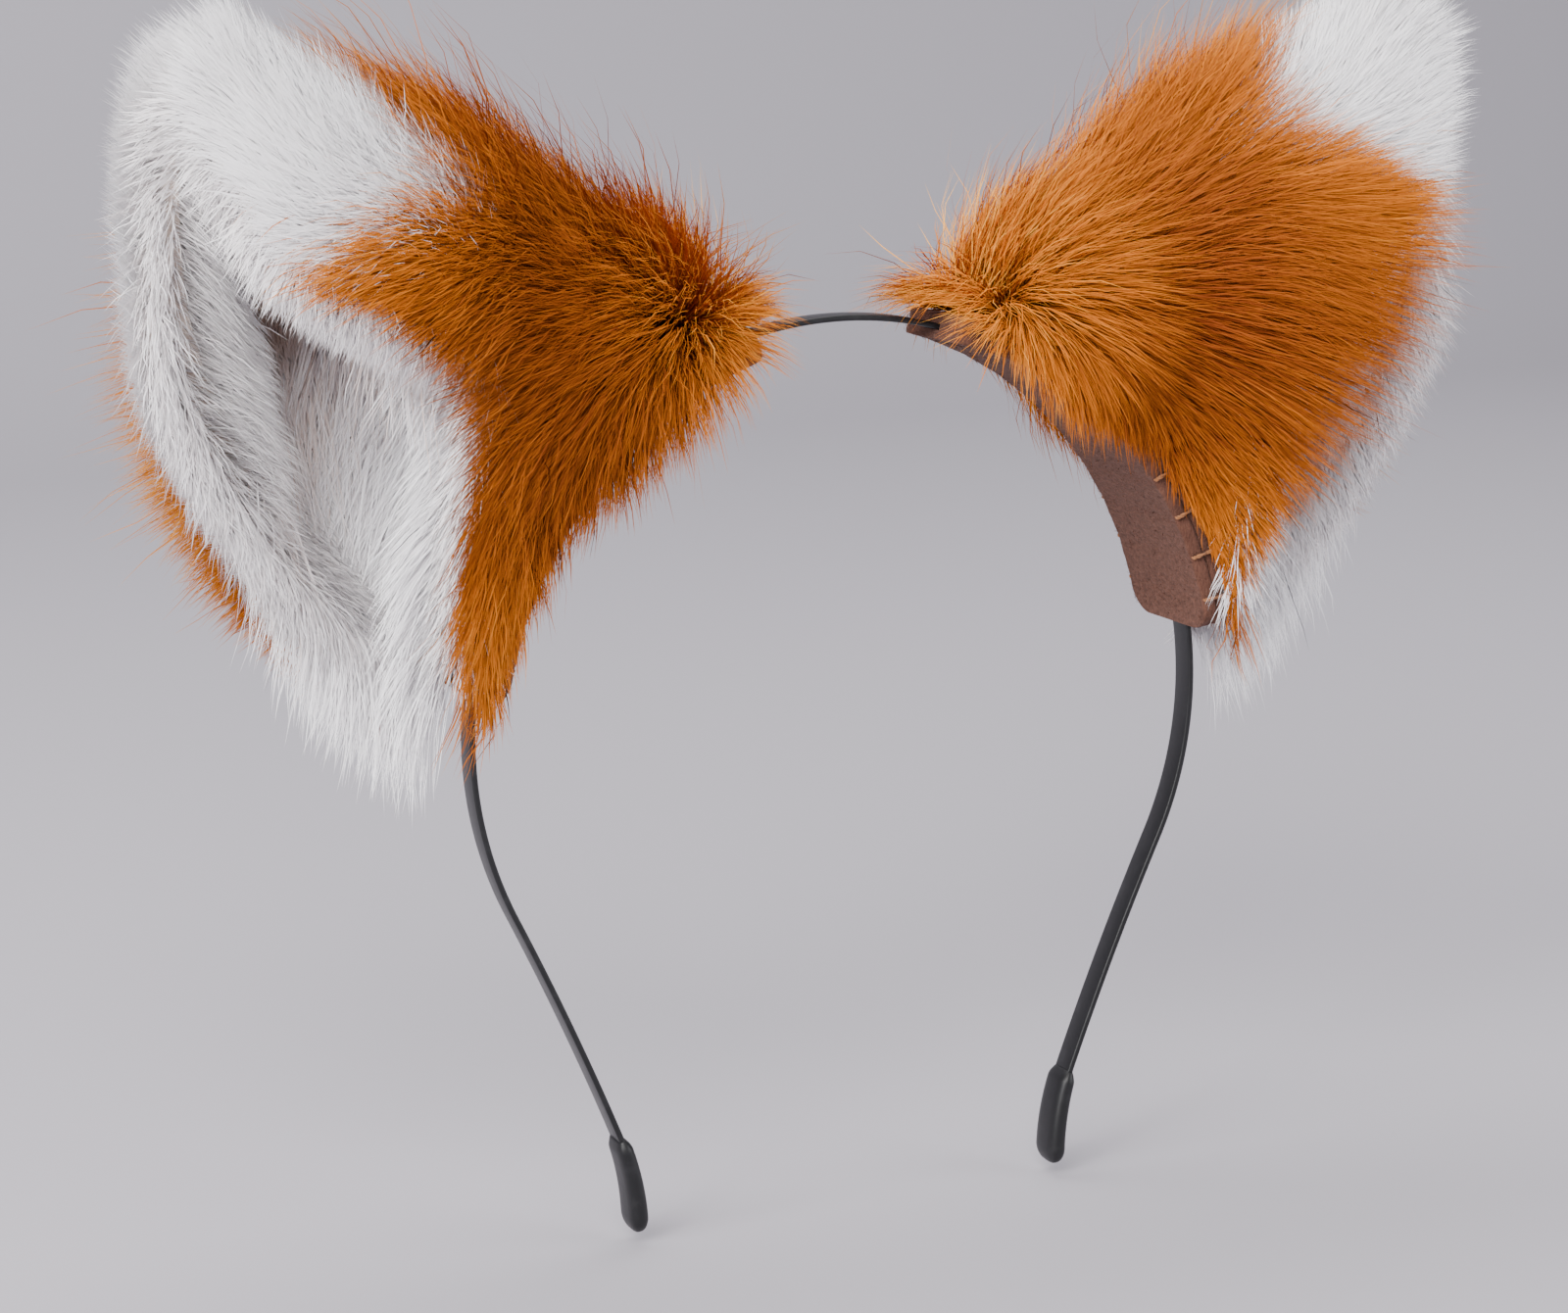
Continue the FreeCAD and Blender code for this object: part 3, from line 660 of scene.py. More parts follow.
def scatter(rng, count, lowLevel, highLevel, offset, keep=None, lowAround=0.0, highAround=1.0):
    # evenly spread root places on the cup
    found = [np.zeros(0), np.zeros(0)]
    while len(found[0]) < count:
        level = rng.uniform(lowLevel, highLevel, count * 2)
        around = rng.uniform(lowAround, highAround, count * 2)
        area = cupFrame(level, around, offset)[4]
        chosen = rng.uniform(0, 1, count * 2) < area / np.percentile(area, 99)
        if keep is not None:
            chosen &= rng.uniform(0, 1, count * 2) < keep(level, around)
        found[0] = np.concatenate([found[0], level[chosen]])
        found[1] = np.concatenate([found[1], around[chosen]])
    return found[0][:count], found[1][:count]


def nearest(points, centres):
    chosen = np.empty(len(points), int)
    for start in range(0, len(points), 4000):
        block = points[start:start + 4000]
        gap = ((block[:, None, :] - centres[None, :, :]) ** 2).sum(-1)
        chosen[start:start + 4000] = gap.argmin(1)
    return chosen


# the room of the felt seat and its threads, which fibres keep out of
seatRoom = {"top": 69.6 * mm, "half": 14 * mm, "beside": 9 * mm, "fromAngle": 10, "toAngle": 86}


def clearSeat(paths):
    # fibres that would cross the felt seat lie beside it or on it
    radius = np.hypot(paths[..., 0], paths[..., 2])
    angle = np.degrees(np.arctan2(paths[..., 0], paths[..., 2]))
    inside = (radius < seatRoom["top"]) & (np.abs(paths[..., 1]) < seatRoom["half"])
    inside &= (angle > seatRoom["fromAngle"]) & (angle < seatRoom["toAngle"])
    aside = inside & (np.abs(paths[..., 1]) > seatRoom["beside"])
    above = inside & ~aside
    paths[..., 1] = np.where(aside, np.sign(paths[..., 1]) * seatRoom["half"], paths[..., 1])
    grow = np.where(above, seatRoom["top"] / np.maximum(radius, 1 * mm), 1.0)
    paths[..., 0] *= grow
    paths[..., 2] *= grow
    return paths


# how far fibres may stand out of the solid model's box
pileLimit = {"front": cadBox[0][1] - 11.2 * mm, "back": cadBox[1][1] + 11.2 * mm,
             "top": cadBox[1][2] + 14.5 * mm}


def keepWithin(paths, rng):
    # a fibre that would reach past the limit is that much shorter
    root = paths[:, :1, 1]
    ahead = np.maximum(root - paths[..., 1].min(1, keepdims=True), 1e-6)
    behind = np.maximum(paths[..., 1].max(1, keepdims=True) - root, 1e-6)
    above = np.maximum(paths[..., 2].max(1, keepdims=True) - paths[:, :1, 2], 1e-6)
    room = np.minimum((root - pileLimit["front"]) / ahead, (pileLimit["back"] - root) / behind)
    room = np.minimum(room, (pileLimit["top"] - paths[:, :1, 2]) / above)
    share = np.where(room < 1, room * rng.uniform(0.8, 1.0, room.shape), 1.0)
    return paths[:, :1] + (paths - paths[:, :1]) * np.clip(share, 0.2, 1.0)[..., None]


def growStrands(rng, roots, normals, flow, lengths, fur, heading=None, rise=0.0, clear=True):
    # paths of curved fibres, gathered in tufts; rows are fibres, columns the points along each
    steps = fur["segments"]
    lengths = np.asarray(lengths)
    along = unit(flow - (flow * normals).sum(-1, keepdims=True) * normals)
    sideways = np.cross(normals, along)
    swirl = waves(roots, fur["waveSize"], fur["seed"])[:, :1] * fur["waveTurn"]
    turn = np.radians(swirl + rng.normal(0, fur["splay"], (len(roots), 1)))
    along = along * np.cos(turn) + sideways * np.sin(turn)
    lifting = rng.normal(0, fur["liftSpread"], (len(roots), 1))
    lifting += waves(roots, fur["waveSize"] * 0.8, fur["seed"] + 1)[:, :1] * fur["liftSpread"] * 0.7
    path = [roots]
    for n in range(steps):
        share = (n + 0.5) / steps
        if heading is None:
            lift = np.radians(fur["liftRoot"] * (1 - share) + fur["liftTip"] * share + lifting + rise)
            way = along * np.cos(lift) + normals * np.sin(lift)
        else:
            way = heading(path[-1], share)
        way = unit(way + down * (fur["sag"] * share * share)
                   + rng.normal(0, fur["kink"], (len(roots), 3)) * (0.3 + share))
        path.append(path[-1] + way * (lengths[:, None] / steps))
    path = np.stack(path, 1)
    tufts = max(int(len(roots) / fur["perTuft"]), 2)
    guides = rng.choice(len(roots), tufts, replace=False)
    mine = guides[nearest(roots, roots[guides])]
    apart = (roots - roots[mine])[:, None, :]
    gather = fur["gather"] * rng.uniform(0.3, 1.0, (len(roots), 1, 1))
    share = (np.arange(steps + 1) / steps)[None, :, None] ** 1.5
    scaled = lengths[:, None, None] / lengths[mine][:, None, None]
    reach = path[:, :1] + (path[mine] - path[mine][:, :1]) * scaled - apart * (1 - fur["tuftSpread"]) * share
    path = keepWithin(path + (reach - path) * gather * share, rng)
    return clearSeat(path) if clear else path


def ribbonMesh(name, paths, normals, shades, width, rng, material, body, sign, roll=0.5):
    # one narrow tapering ribbon a fibre, facing outward with a random roll
    count, points = paths.shape[:2]
    steps = points - 1
    if sign < 0:
        paths = paths * np.array([-1.0, 1.0, 1.0])
        normals = normals * np.array([-1.0, 1.0, 1.0])
    travel = unit(np.gradient(paths, axis=1))
    tipped = unit(normals + rng.normal(0, roll, normals.shape))[:, None, :]
    facing = unit(tipped - (tipped * travel).sum(-1, keepdims=True) * travel)
    across = np.cross(travel, facing)
    taper = (1 - (np.arange(steps) / steps) ** 2 * 0.75)[None, :, None]
    half = (width * rng.uniform(0.7, 1.3, (count, 1, 1))) * taper / 2
    lefts = paths[:, :-1] - across[:, :-1] * half
    rights = paths[:, :-1] + across[:, :-1] * half
    pairs = np.stack([lefts, rights], 2).reshape(count, 2 * steps, 3)
    vertices = np.concatenate([pairs, paths[:, -1:]], 1)
    softNormal = unit(normals[:, None, :] * 0.9 + facing * 0.45)
    pairNormals = np.repeat(softNormal[:, :-1], 2, axis=1)
    vertexNormals = np.concatenate([pairNormals, softNormal[:, -1:]], 1)
    each = 2 * steps + 1
    base = (np.arange(count) * each)[:, None]
    quads = np.array([[2 * n, 2 * n + 1, 2 * n + 3, 2 * n + 2] for n in range(steps - 1)]).reshape(-1)
    corner = np.array([2 * steps - 2, 2 * steps - 1, 2 * steps])
    loops = np.concatenate([base + quads[None, :], base + corner[None, :]], 1)
    sizes = np.tile([4] * (steps - 1) + [3], count)
    mesh = bpy.data.meshes.new(name)
    mesh.vertices.add(count * each)
    mesh.vertices.foreach_set("co", vertices.reshape(-1))
    mesh.loops.add(loops.size)
    mesh.loops.foreach_set("vertex_index", loops.reshape(-1))
    mesh.polygons.add(count * steps)
    mesh.polygons.foreach_set("loop_start", np.concatenate([[0], np.cumsum(sizes)[:-1]]))
    mesh.polygons.foreach_set("loop_total", sizes)
    mesh.update(calc_edges=True)
    lay = mesh.uv_layers.new(name="OFBake")
    sliver = 0.0015
    heights = np.concatenate([np.repeat(np.arange(steps) / steps, 2), [1.0]])
    offsets = np.concatenate([np.tile([-sliver, sliver], steps), [0.0]])
    local = (loops - base) % each
    tones = np.clip(shades, 0.01, 0.99)[:, None] + offsets[local]
    lay.data.foreach_set("uv", np.stack([tones, 0.01 + 0.98 * heights[local]], -1).reshape(-1))
    mesh.polygons.foreach_set("use_smooth", np.ones(count * steps, bool))
    mesh.normals_split_custom_set_from_vertices(vertexNormals.reshape(-1, 3))
    mesh.materials.append(material)
    piece = bpy.data.objects.new(name, mesh)
    bpy.context.collection.objects.link(piece)
    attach(piece, body)
    return piece


def ribbonPieces(name, order, pieces, paths, normals, shades, fur, rng, material, side, sign):
    # the same fibres as several meshes of equal size, split along an order
    ranks = np.argsort(order, kind="stable")
    made = []
    for number, pick in enumerate(np.array_split(ranks, pieces), start=1):
        made.append(ribbonMesh("%s_%d_%s" % (name, number, side), paths[pick], normals[pick], shades[pick],
                               fur["width"], rng, material, side + "_side", sign))
    return made


def ease(value, low, high):
    share = np.clip((value - low) / (high - low), 0, 1)
    return share * share * (3 - 2 * share)


def seamLevel(around):
    # the white tip begins highest on the back, and its seam dips in the middle of the front
    return np.interp(around, [0, 0.08, 0.16, 0.22, 0.3, 0.45, 0.6, 0.8, 1.0],
                     [0.64, 0.57, 0.50, 0.53, 0.64, 0.67, 0.66, 0.50, 0.30])


def rollShare(points):
    # 1 on the thick white roll along the back rim and inside the tip, 0 in the hollow of the cup
    heights, across, _ = earSpots(points)
    return ease(heights + across, 67 * mm, 72 * mm)


orangeCoat = {
    "count": 82000, "length": 23 * mm, "width": 0.2 * mm, "segments": 4, "seed": 11,
    "liftRoot": 52.0, "liftTip": 6.0, "liftSpread": 12.0, "splay": 11.0, "waveSize": 17 * mm,
    "waveTurn": 15.0, "sag": 0.22, "kink": 0.07, "perTuft": 34, "gather": 0.42, "tuftSpread": 0.5,
}
whiteCoat = {
    "count": 44000, "length": 14 * mm, "width": 0.19 * mm, "segments": 3, "seed": 23,
    "liftRoot": 58.0, "liftTip": 22.0, "liftSpread": 10.0, "splay": 12.0, "waveSize": 14 * mm,
    "waveTurn": 10.0, "sag": 0.1, "kink": 0.05, "perTuft": 30, "gather": 0.12, "tuftSpread": 0.6,
}
plushCoat = {
    "count": 62000, "length": 7 * mm, "width": 0.19 * mm, "segments": 3, "seed": 37,
    "liftRoot": 66.0, "liftTip": 36.0, "liftSpread": 7.0, "splay": 14.0, "waveSize": 14 * mm,
    "waveTurn": 12.0, "sag": 0.15, "kink": 0.05, "perTuft": 30, "gather": 0.05, "tuftSpread": 0.7,
}
longTuft = {
    "count": 36000, "length": 27 * mm, "width": 0.2 * mm, "segments": 6, "seed": 53,
    "liftRoot": 48.0, "liftTip": 0.0, "liftSpread": 8.0, "splay": 10.0, "waveSize": 20 * mm,
    "waveTurn": 14.0, "sag": 0.15, "kink": 0.07, "perTuft": 44, "gather": 0.36, "tuftSpread": 0.5,
}
hemCoat = {
    "count": 14000, "length": 9 * mm, "width": 0.22 * mm, "segments": 3, "seed": 71,
    "liftRoot": 40.0, "liftTip": 16.0, "liftSpread": 8.0, "splay": 14.0, "waveSize": 14 * mm,
    "waveTurn": 8.0, "sag": 0.2, "kink": 0.05, "perTuft": 20, "gather": 0.0, "tuftSpread": 0.6,
}

# how each ear's fur is combed where it meets the front rim
rimCombing = {
    "left": {"fall": 0.5, "across": 0.0, "longer": 0.0, "shorter": 0.0, "rise": 0.0, "tone": 0.33,
             "backShort": 0.2},
    "right": {"fall": 0.15, "across": 0.8, "longer": 1.0, "shorter": 0.5, "rise": 4.0, "tone": 0.33,
              "backShort": 0.6},
}


def growOuter(side, sign):
    rng = np.random.default_rng(orangeCoat["seed"] + int(sign))
    level, around = scatter(rng, orangeCoat["count"], 0.0, 0.80, 1.0 * mm,
                            lambda l, a: 1 / (1 + np.exp((l - seamLevel(a)) / 0.02)))
    root, normal, _, _, _ = cupFrame(level, around, 1.0 * mm)
    heights, across, front = earSpots(root)
    away = np.stack([heights + 6 * mm, across + 38 * mm], 1)
    reach = np.linalg.norm(away, axis=1)
    near = np.exp(-(reach / (17 * mm)) ** 2)[:, None]
    foot = ease(0.10 - level, 0.0, 0.08)[:, None] * np.where(front > 0, 1.0, 0.3)[:, None]
    end = ease(0.08 - level, 0.0, 0.06) * np.exp(-((around - 0.47) / 0.10) ** 2)
    rim = ease(0.22 - around, 0.0, 0.2)[:, None]
    comb = rimCombing[side]
    flow = unit(away[:, :1] * upEar + away[:, 1:] * sideEar)
    flow = flow - upEar * foot * 0.9 + down * 0.2 * foot - sideEar * 1.6 * end[:, None]
    lowRim = rim * ease(0.55 - level, 0, 0.2)[:, None]
    flow = flow + rim * down * comb["fall"] + lowRim * sideEar * comb["across"]
    lengths = orangeCoat["length"] * rng.uniform(0.6, 1.15, len(root)) * (1 - 0.3 * near[:, 0])
    lengths *= 0.75 + 0.40 * ease(around, 0.1, 0.35) * ease(1 - around, 0.0, 0.3)
    lengths *= 1 + comb["longer"] * rim[:, 0] * ease(0.58 - level, 0, 0.15) * ease(level, 0.1, 0.25)
    lengths *= 1 - comb["shorter"] * ease(0.3 - around, 0, 0.15) * ease(0.2 - level, 0, 0.15)
    lengths *= 1 - comb["backShort"] * ease(around, 0.7, 0.9) * ease(0.45 - level, 0, 0.2)
    lengths *= 1 - 0.25 * foot[:, 0]
    fly = rng.uniform(0, 1, len(root)) < 0.015
    lengths[fly] *= 1.35
    rise = 16 * near + fly[:, None] * 14 + comb["rise"] * rim
    paths = growStrands(rng, root, normal, flow, lengths, orangeCoat, rise=rise)
    dark = np.exp(-((heights - 16 * mm) ** 2 + (across + 2 * mm) ** 2) / (27 * mm) ** 2) * (front > 0)
    tone = comb["tone"] + 0.16 * ease(heights, 25 * mm, 60 * mm) + 0.12 * ease(around, 0.2, 0.4)
    tone = tone + 0.12 * ease(-across, 22 * mm, 36 * mm) - 0.28 * dark
    tone = tone + 0.09 * waves(root, 18 * mm, 5)[:, 0]
    shades = np.clip(tone + rng.normal(0, 0.08, len(root)), 0.03, 0.98)
    made = ribbonPieces("coat", around, 3, paths, normal, shades, orangeCoat, rng,
                        furMaterials["orangeFur"], side, sign)
    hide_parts("outer_panel_" + side)


crownWisps = dict(
    orangeCoat, count=320, thin=0.2 * mm, gather=0.75, perTuft=45, splay=14.0, liftSpread=16.0,
    waveTurn=20.0, liftRoot=30.0, liftTip=10.0, sag=0.0)
lowStrays = dict(crownWisps, count=90, sag=0.2, gather=0.6, perTuft=40)


def growWisps(side, sign):
    # long golden hairs at the crown end of the ear, and a few stray ones at its lower end
    rng = np.random.default_rng(97 + int(sign))
    count = crownWisps["count"]
    level = rng.uniform(0.0, 0.05, count)
    around = rng.uniform(0.44, 0.53, count)
    root, normal, _, _, _ = cupFrame(level, around, 1.0 * mm)
    up = np.array([0.0, 0.0, 1.0])
    flow = up - sideEar * rng.choice([0.15, 1.0], (count, 1), p=[0.6, 0.4])
    flow = flow + rng.normal(0, 0.15, (count, 3))
    lengths = rng.uniform(14, 31, count) * mm
    paths = growStrands(rng, root, normal, flow, lengths, crownWisps)
    shades = rng.uniform(0.5, 0.85, count)
    ribbonMesh("wisps_" + side, paths, normal, shades, crownWisps["thin"], rng,
               furMaterials["orangeFur"], side + "_side", sign)
    count = lowStrays["count"]
    level = rng.uniform(0.0, 0.03, count)
    around = rng.choice([0.02, 0.98], count) + rng.uniform(-0.02, 0.02, count)
    root, normal, _, _, _ = cupFrame(level, around, 1.0 * mm)
    flow = np.broadcast_to(down + sideEar * 0.4, root.shape)
    paths = growStrands(rng, root, normal, flow, rng.uniform(10, 22, count) * mm, lowStrays)
    ribbonMesh("strays_" + side, paths, normal, rng.uniform(0.1, 0.5, count), lowStrays["thin"], rng,
               furMaterials["orangeFur"], side + "_side", sign)


def growTip(side, sign):
    rng = np.random.default_rng(whiteCoat["seed"] + int(sign))
    level, around = scatter(rng, whiteCoat["count"], 0.36, 1.0, 1.0 * mm,
                            lambda l, a: 1 / (1 + np.exp((seamLevel(a) - l) / 0.02)))
    root, normal, climb, ring, _ = cupFrame(level, around, 1.0 * mm)
    edge = (0.5 - around)[:, None] * 2
    flow = climb - ring * np.sign(edge) * np.abs(edge) ** 3 * 0.6 + down * 0.15
    lengths = whiteCoat["length"] * rng.uniform(0.75, 1.1, len(root)) * (1 - 0.45 * ease(around, 0.6, 0.95))
    paths = growStrands(rng, root, normal, flow, lengths, whiteCoat)
    shades = np.clip(0.74 + rng.normal(0, 0.12, len(root)) - 0.3 * np.exp(
        -((level - seamLevel(around)) / 0.04) ** 2), 0.05, 0.98)
    made = ribbonPieces("tip_coat", around, 2, paths, normal, shades, whiteCoat, rng,
                        furMaterials["whiteFur"], side, sign)
    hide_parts("tip_panel_" + side)


def liningOffset(points):
    # how far inside the sewing line the lining's face stands: it is thick where it makes the roll
    return -1.4 * mm - 5.0 * mm * rollShare(points)


def growPlush(side, sign):
    rng = np.random.default_rng(plushCoat["seed"] + int(sign))
    level, around = scatter(rng, plushCoat["count"], 0.10, 0.995, -1.0 * mm)
    flat = cupPoint(level, around, -1.0 * mm)
    roll = rollShare(flat)
    edge = ease(np.minimum(around, 1 - around), 0.0, 0.06)
    root, normal, _, ring, _ = cupFrame(level, around, liningOffset(flat) * edge - 0.8 * mm)
    normal = -normal
    heights = earSpots(root)[0]
    way = np.where(around > 0.5, 1.0, -1.0)[:, None]
    brink = ease(np.minimum(around, 1 - around), 0.10, 0.02)
    over = (0.7 - 0.45 * roll + 0.9 * brink)[:, None]
    flow = ring * way * over + down * (0.6 + 0.5 * roll[:, None])
    lengths = plushCoat["length"] * rng.uniform(0.8, 1.1, len(root)) * (0.85 + 0.65 * roll + 0.5 * brink)
    paths = growStrands(rng, root, normal, flow, lengths, plushCoat)
    # painted shade: the lining is darkened to tan in the deep hollow under the tip, away from the roll;
    # partly its tan backing showing through, partly painted shade of the hollow
    foldShade = np.exp(-((heights - 50 * mm) / (15 * mm)) ** 2) * (1 - roll)
    shades = np.clip(0.86 - 0.80 * foldShade + rng.normal(0, 0.05, len(root)), 0.03, 0.98)
    made = ribbonPieces("plush", around, 2, paths, normal, shades, plushCoat, rng,
                        furMaterials["whitePlush"], side, sign)
    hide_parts("lining_" + side)


def growTuft(side, sign):
    # the long fur falls along the seat's curve and past its lower end
    rng = np.random.default_rng(longTuft["seed"] + int(sign))
    level, around = scatter(rng, longTuft["count"], 0.02, 0.56, -2.0 * mm,
                            lambda l, a: np.clip(1.2 - l / 0.56, 0, 1) * (0.5 + 0.5 * ease(a, 0.0, 0.3)))
    flat = cupPoint(level, around, -1.0 * mm)
    edge = ease(np.minimum(around, 1 - around), 0.0, 0.06)
    root, normal, _, _, _ = cupFrame(level, around, liningOffset(flat) * edge - 0.8 * mm)
    normal = -normal
    target = rng.uniform(2, 40, len(root)) * mm
    lean = rng.normal(0, 0.14, len(root))

    def heading(spot, share):
        radius = np.hypot(spot[:, 0], spot[:, 2])
        outward = np.stack([spot[:, 0] / radius, np.zeros(len(spot)), spot[:, 2] / radius], -1)
        onward = np.stack([outward[:, 2], np.zeros(len(spot)), -outward[:, 0]], -1)
        above = radius - 68.5 * mm
        sink = np.clip((target - above) / (18 * mm), -1.0, 0.7)
        sideways = -(spot[:, 1] + 2 * mm) / (22 * mm) * 0.35
        way = onward + outward * sink[:, None] + down * 0.3
        way[:, 1] += sideways + lean
        return way + normal * (0.9 * (1 - share) ** 3)

    lengths = longTuft["length"] * rng.uniform(0.6, 1.15, len(root)) * (1.1 - 0.35 * target / (40 * mm))
    paths = growStrands(rng, root, normal, onwardFlow(root), lengths, longTuft, heading)
    # painted shade: fibres rooted higher in the cup, near the deep hollow under the tip, are darkened
    # towards tan to match that hollow, whose colour is partly tan backing and partly painted shade
    shades = 0.74 - 0.45 * ease(level, 0.28, 0.48) + rng.normal(0, 0.11, len(root))
    seen = unit(np.array([0.5, -0.8, 0.1]) + normal * 0.5)
    made = ribbonPieces("long_tuft", around, 2, paths, seen, shades, longTuft, rng,
                        furMaterials["whiteFur"], side, sign)
    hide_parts("inner_tuft_" + side)


def onwardFlow(points):
    return unit(np.stack([points[:, 2], np.zeros(len(points)), -points[:, 0]], -1))


# the rim: a wire in a rolled hem, from the seat up the front, over the tip and down the back

rimWire = {"radius": 0.7 * mm, "outset": 2.0 * mm, "hemRadius": 1.9 * mm,
           "levels": [0.04, 0.155, 0.31, 0.465, 0.62, 0.775]}


def rimSpot(level, around):
    point = cupPoint(np.array([level]), np.array([around]))[0]
    inward = cupPoint(np.array([level]), np.array([around + (0.01 if around < 0.5 else -0.01)]))[0]
    return point + unit(point - inward) * rimWire["outset"]


def smoothPath(knots, perSpan):
    knots = np.asarray(knots)
    stops = np.linspace(0, 1, (len(knots) - 1) * perSpan + 1)
    return np.stack([smoothAlong(knots[:, axis], stops) for axis in range(3)], 1)


rimKnots = [rimSpot(level, 0.0) for level in rimWire["levels"]]
rimKnots.append(seatCentre + upEar * earShape["height"] + sideEar * earShape["sideShift"][-1] * mm
                + frontEar * earShape["frontShift"][-1] * mm)
rimKnots += [rimSpot(level, 1.0) for level in reversed(rimWire["levels"])]
rimPath = smoothPath(rimKnots, 8)
rimAway = [unit(rimSpot(level, around) - cupPoint(np.array([level]), np.array([around]))[0])
           for around, levels in ((0.0, rimWire["levels"]), (1.0, rimWire["levels"][::-1]))
           for level in levels]
rimAway.insert(len(rimWire["levels"]), upEar)
rimOutward = unit(smoothPath(rimAway, 8))


def tubeRings(path, radius, points):
    travel = unit(np.gradient(path, axis=0))
    across = unit(np.cross(travel[0], [0.3, 0.9, 0.2]))
    rings = []
    for spot, way in zip(path, travel):
        across = unit(across - (across @ way) * way)
        other = np.cross(way, across)
        turns = np.linspace(0, 2 * math.pi, points, endpoint=False)
        rings.append([spot + radius * (math.cos(t) * across + math.sin(t) * other) for t in turns])
    return rings


def makeRim(side, sign):
    body = side + "_side"
    vertices, faces = mirrored(*loftRings(tubeRings(rimPath, rimWire["radius"], 10)), sign)
    wire = addMesh("rim_wire_" + side, vertices, faces, hardMaterials["bareWire"], body)
    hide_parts("wire_frame_" + side)
    vertices, faces = mirrored(*loftRings(tubeRings(rimPath, rimWire["hemRadius"], 12)), sign)
    addMesh("rim_hem_" + side, vertices, faces, clothMaterials["plushBacking"], body)


def growHem(side, sign):
    rng = np.random.default_rng(hemCoat["seed"] + int(sign))
    count = hemCoat["count"]
    spot = rng.uniform(0, len(rimPath) - 1.001, count)
    low = spot.astype(int)
    share = (spot - low)[:, None]
    travel = unit(np.gradient(rimPath, axis=0))
    centre = rimPath[low] * (1 - share) + rimPath[low + 1] * share
    way = unit(travel[low] * (1 - share) + travel[low + 1] * share)
    normal = rng.normal(size=(count, 3))
    normal = unit(normal - (normal * way).sum(-1, keepdims=True) * way)
    outward = rimOutward[low] * (1 - share) + rimOutward[low + 1] * share
    inside = (normal * outward).sum(-1, keepdims=True) < -0.3
    normal = np.where(inside, -normal, normal)
    root = centre + normal * (rimWire["hemRadius"] - 0.3 * mm)
    flow = outward * 0.9 + down * 0.7
    lengths = hemCoat["length"] * rng.uniform(0.7, 1.2, count)
    paths = growStrands(rng, root, normal, flow, lengths, hemCoat)
    shades = np.clip(0.85 + rng.normal(0, 0.08, count), 0.05, 0.98)
    ribbonMesh("hem_coat_" + side, paths, normal, shades, hemCoat["width"], rng,
               furMaterials["whitePlush"], side + "_side", sign)


def cupCloth(name, low, high, outer, inner, material, side, sign, rows=40, columns=70):
    # the cloth itself, a thin cup with two faces and closed edges
    shares = np.linspace(0, 1, columns)
    start = low(shares) if callable(low) else np.full(columns, low)
    finish = high(shares) if callable(high) else np.full(columns, high)
    grid = []
    for offset in (outer, inner):
        for n in range(rows):
            levels = start + (finish - start) * n / (rows - 1)
            depth = offset(cupPoint(levels, shares)) if callable(offset) else offset
            grid.append(cupPoint(levels, shares, depth))
    vertices = np.concatenate(grid)
    sheet = rows * columns
    faces = []
    for row in range(rows - 1):
        for column in range(columns - 1):
            a = row * columns + column
            faces.append((a, a + 1, a + columns + 1, a + columns))
            faces.append((a + sheet, a + columns + sheet, a + columns + 1 + sheet, a + 1 + sheet))
    border = list(range(columns))
    border += [n * columns + columns - 1 for n in range(1, rows)]
    border += [(rows - 1) * columns + n for n in range(columns - 2, -1, -1)]
    border += [n * columns for n in range(rows - 2, 0, -1)]
    for a, b in zip(border, border[1:] + border[:1]):
        faces.append((b, a, a + sheet, b + sheet))
    vertices, faces = mirrored([tuple(v) for v in vertices], faces, sign)
    return addMesh(name, vertices, faces, material, side + "_side")


for side, sign in mirror.items():
    pad = makeFelt(side, sign, "felt_pad_", feltSeat["padInner"], feltSeat["padOuter"], False)
    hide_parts("base_pad_" + side)
    wrap = makeFelt(side, sign, "felt_wrap_", feltSeat["wrapInner"], feltSeat["padInner"], True)
    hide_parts("base_wrap_" + side)
    growFuzz(side, sign)
    makeThreads(side, sign)
    growOuter(side, sign)
    growWisps(side, sign)
    growTip(side, sign)
    growPlush(side, sign)
    growTuft(side, sign)
    makeRim(side, sign)
    growHem(side, sign)
    outer = cupCloth("outer_cloth_" + side, 0.0, seamLevel, 1.2 * mm, 0.1 * mm,
                     clothMaterials["rustBacking"], side, sign)
    tip = cupCloth("tip_cloth_" + side, seamLevel, 1.0, 1.2 * mm, 0.1 * mm,
                   clothMaterials["whiteBacking"], side, sign)
    inner = cupCloth("lining_cloth_" + side, 0.0, 1.0, -0.1 * mm, liningOffset,
                     clothMaterials["plushBacking"], side, sign)
    print("ear grown:", side)


# stage, lights and camera

def addStage():
    rows = [(-3.0, -0.0875), (0.9, -0.0875)]
    for n in range(1, 13):
        turn = math.pi / 2 * n / 12
        rows.append((0.9 + 0.5 * math.sin(turn), -0.0875 + 0.5 * (1 - math.cos(turn))))
    rows.append((1.4, 3.5))
    vertices = [(x, y, z) for y, z in rows for x in (-4.0, 4.0)]
    faces = [(2 * n, 2 * n + 1, 2 * n + 3, 2 * n + 2) for n in range(len(rows) - 1)]
    mesh = bpy.data.meshes.new("backdrop")
    mesh.from_pydata(vertices, [], faces)
    mesh.polygons.foreach_set("use_smooth", [True] * len(faces))
    paper = newMaterial("palePaper")
    surfaceOf(paper, Base_Color=(0.42, 0.40, 0.44, 1), Roughness=0.9)
    mesh.materials.append(paper)
    floor = bpy.data.objects.new("backdrop", mesh)
    bpy.context.collection.objects.link(floor)


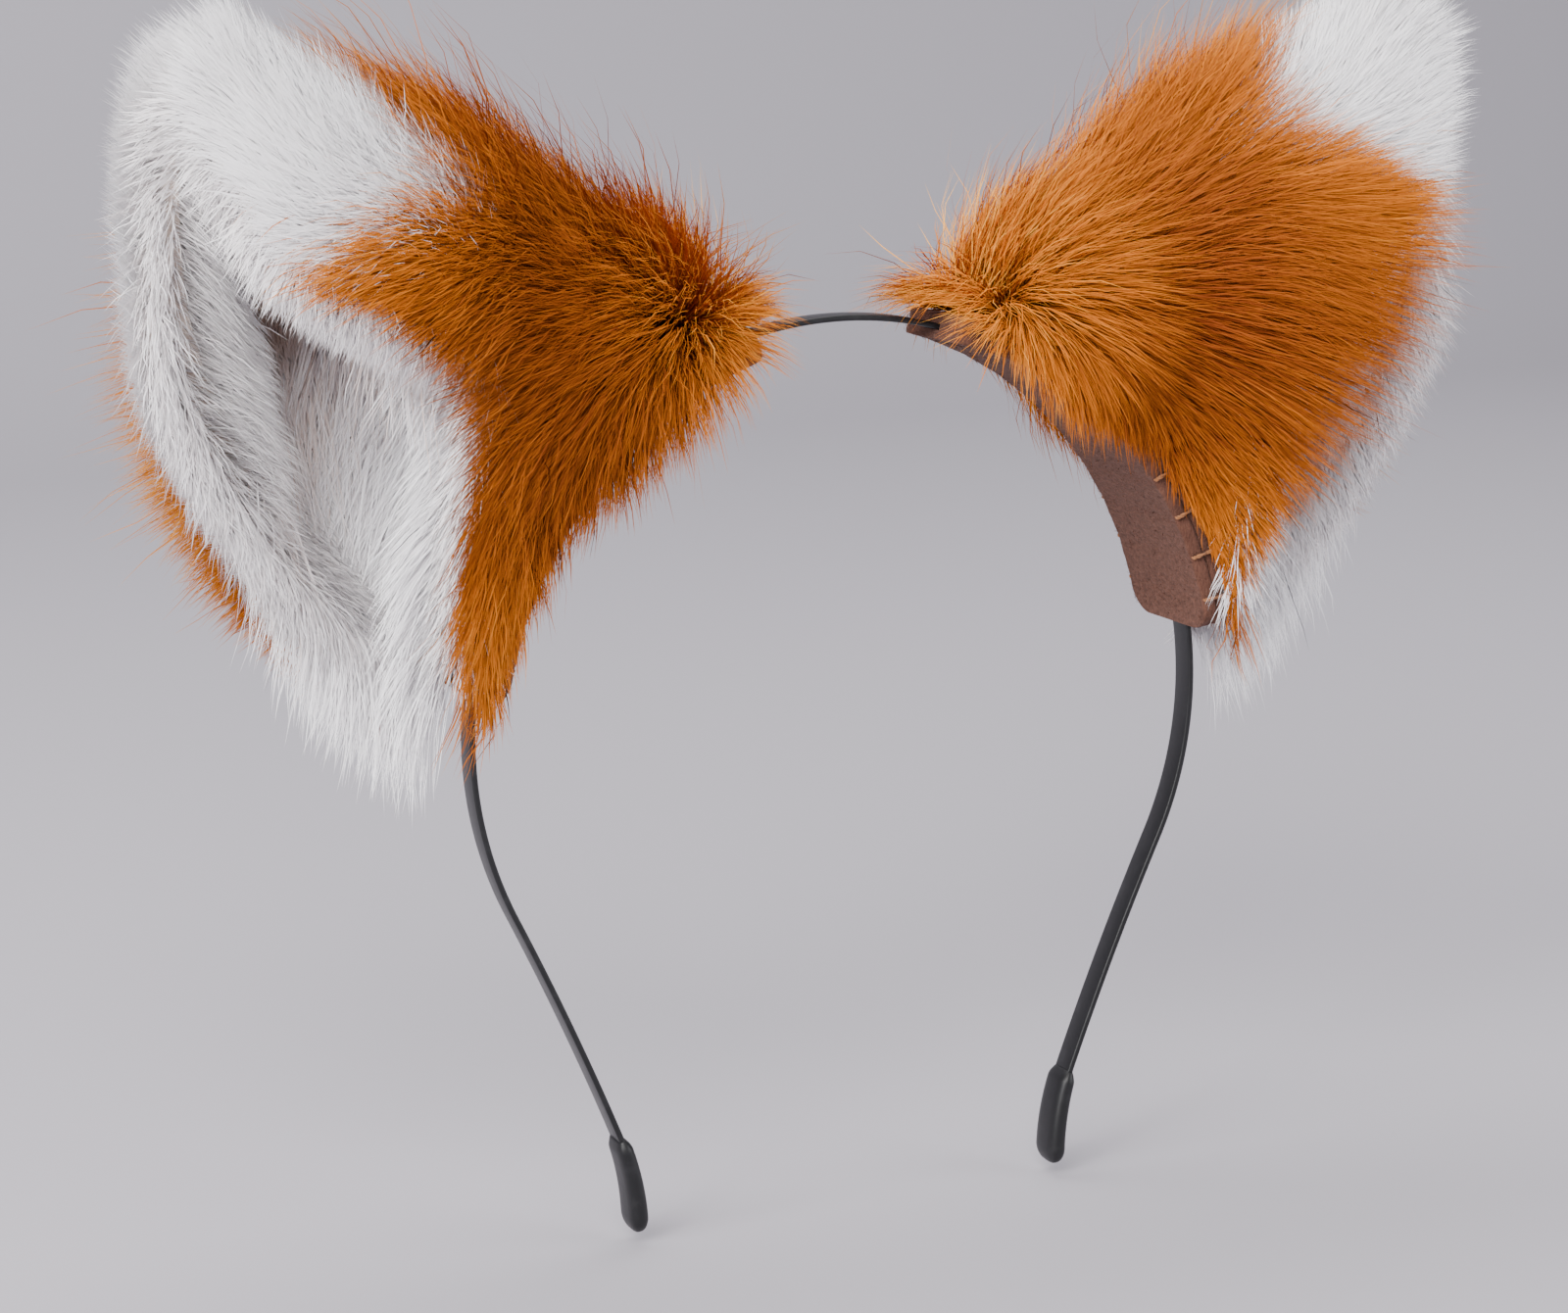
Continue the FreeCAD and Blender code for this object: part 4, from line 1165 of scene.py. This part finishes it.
def addLight(name, spot, target, size, power, colour=(1, 1, 1)):
    data = bpy.data.lights.new(name, "AREA")
    data.shape = "RECTANGLE"
    data.size, data.size_y = size
    data.energy = power
    data.color = colour
    lamp = bpy.data.objects.new(name, data)
    bpy.context.collection.objects.link(lamp)
    lamp.location = spot
    aim = Vector(target) - Vector(spot)
    lamp.rotation_euler = aim.to_track_quat("-Z", "Y").to_euler()


view = {"turn": 24.52, "distance": 620.0 * mm, "height": (68.57 + 66.0) * mm, "pitch": 11.43,
        "yaw": -0.871, "roll": -0.957, "lens": 86.79}


def addCamera():
    data = bpy.data.cameras.new("camera")
    data.lens = view["lens"]
    data.sensor_width = 36.0
    data.clip_start = 0.01
    camera = bpy.data.objects.new("camera", data)
    bpy.context.collection.objects.link(camera)
    turn, pitch, roll = (math.radians(view[word]) for word in ("turn", "pitch", "roll"))
    heading = math.radians(view["turn"] + view["yaw"])
    ahead = Vector((math.sin(heading) * math.cos(pitch), math.cos(heading) * math.cos(pitch),
                    -math.sin(pitch)))
    right = Vector((math.cos(heading), -math.sin(heading), 0))
    up = right.cross(ahead)
    rolledRight = right * math.cos(roll) + up * math.sin(roll)
    rolledUp = up * math.cos(roll) - right * math.sin(roll)
    matrix = Matrix((rolledRight, rolledUp, -ahead)).transposed().to_4x4()
    matrix.translation = (-view["distance"] * math.sin(turn), -view["distance"] * math.cos(turn),
                          view["height"])
    camera.matrix_world = matrix
    bpy.context.scene.camera = camera


addStage()
addLight("key", (-0.7, -0.9, 0.9), (0, 0, 0.03), (1.0, 0.9), 30, (1.0, 0.98, 0.96))
addLight("fill", (1.1, -0.9, 0.4), (0, 0, 0.03), (0.9, 0.9), 12, (0.96, 0.97, 1.0))
addLight("side", (-1.3, -0.5, 0.5), (0, 0, 0.03), (0.8, 0.8), 22)
addLight("top", (0.0, 0.35, 1.2), (0, 0, 0.03), (1.2, 0.7), 14)
world = bpy.data.worlds.new("room")
world.use_nodes = True
world.node_tree.nodes["Background"].inputs["Color"].default_value = (0.60, 0.60, 0.65, 1)
world.node_tree.nodes["Background"].inputs["Strength"].default_value = 0.6
bpy.context.scene.world = world
addCamera()
print("stage set")
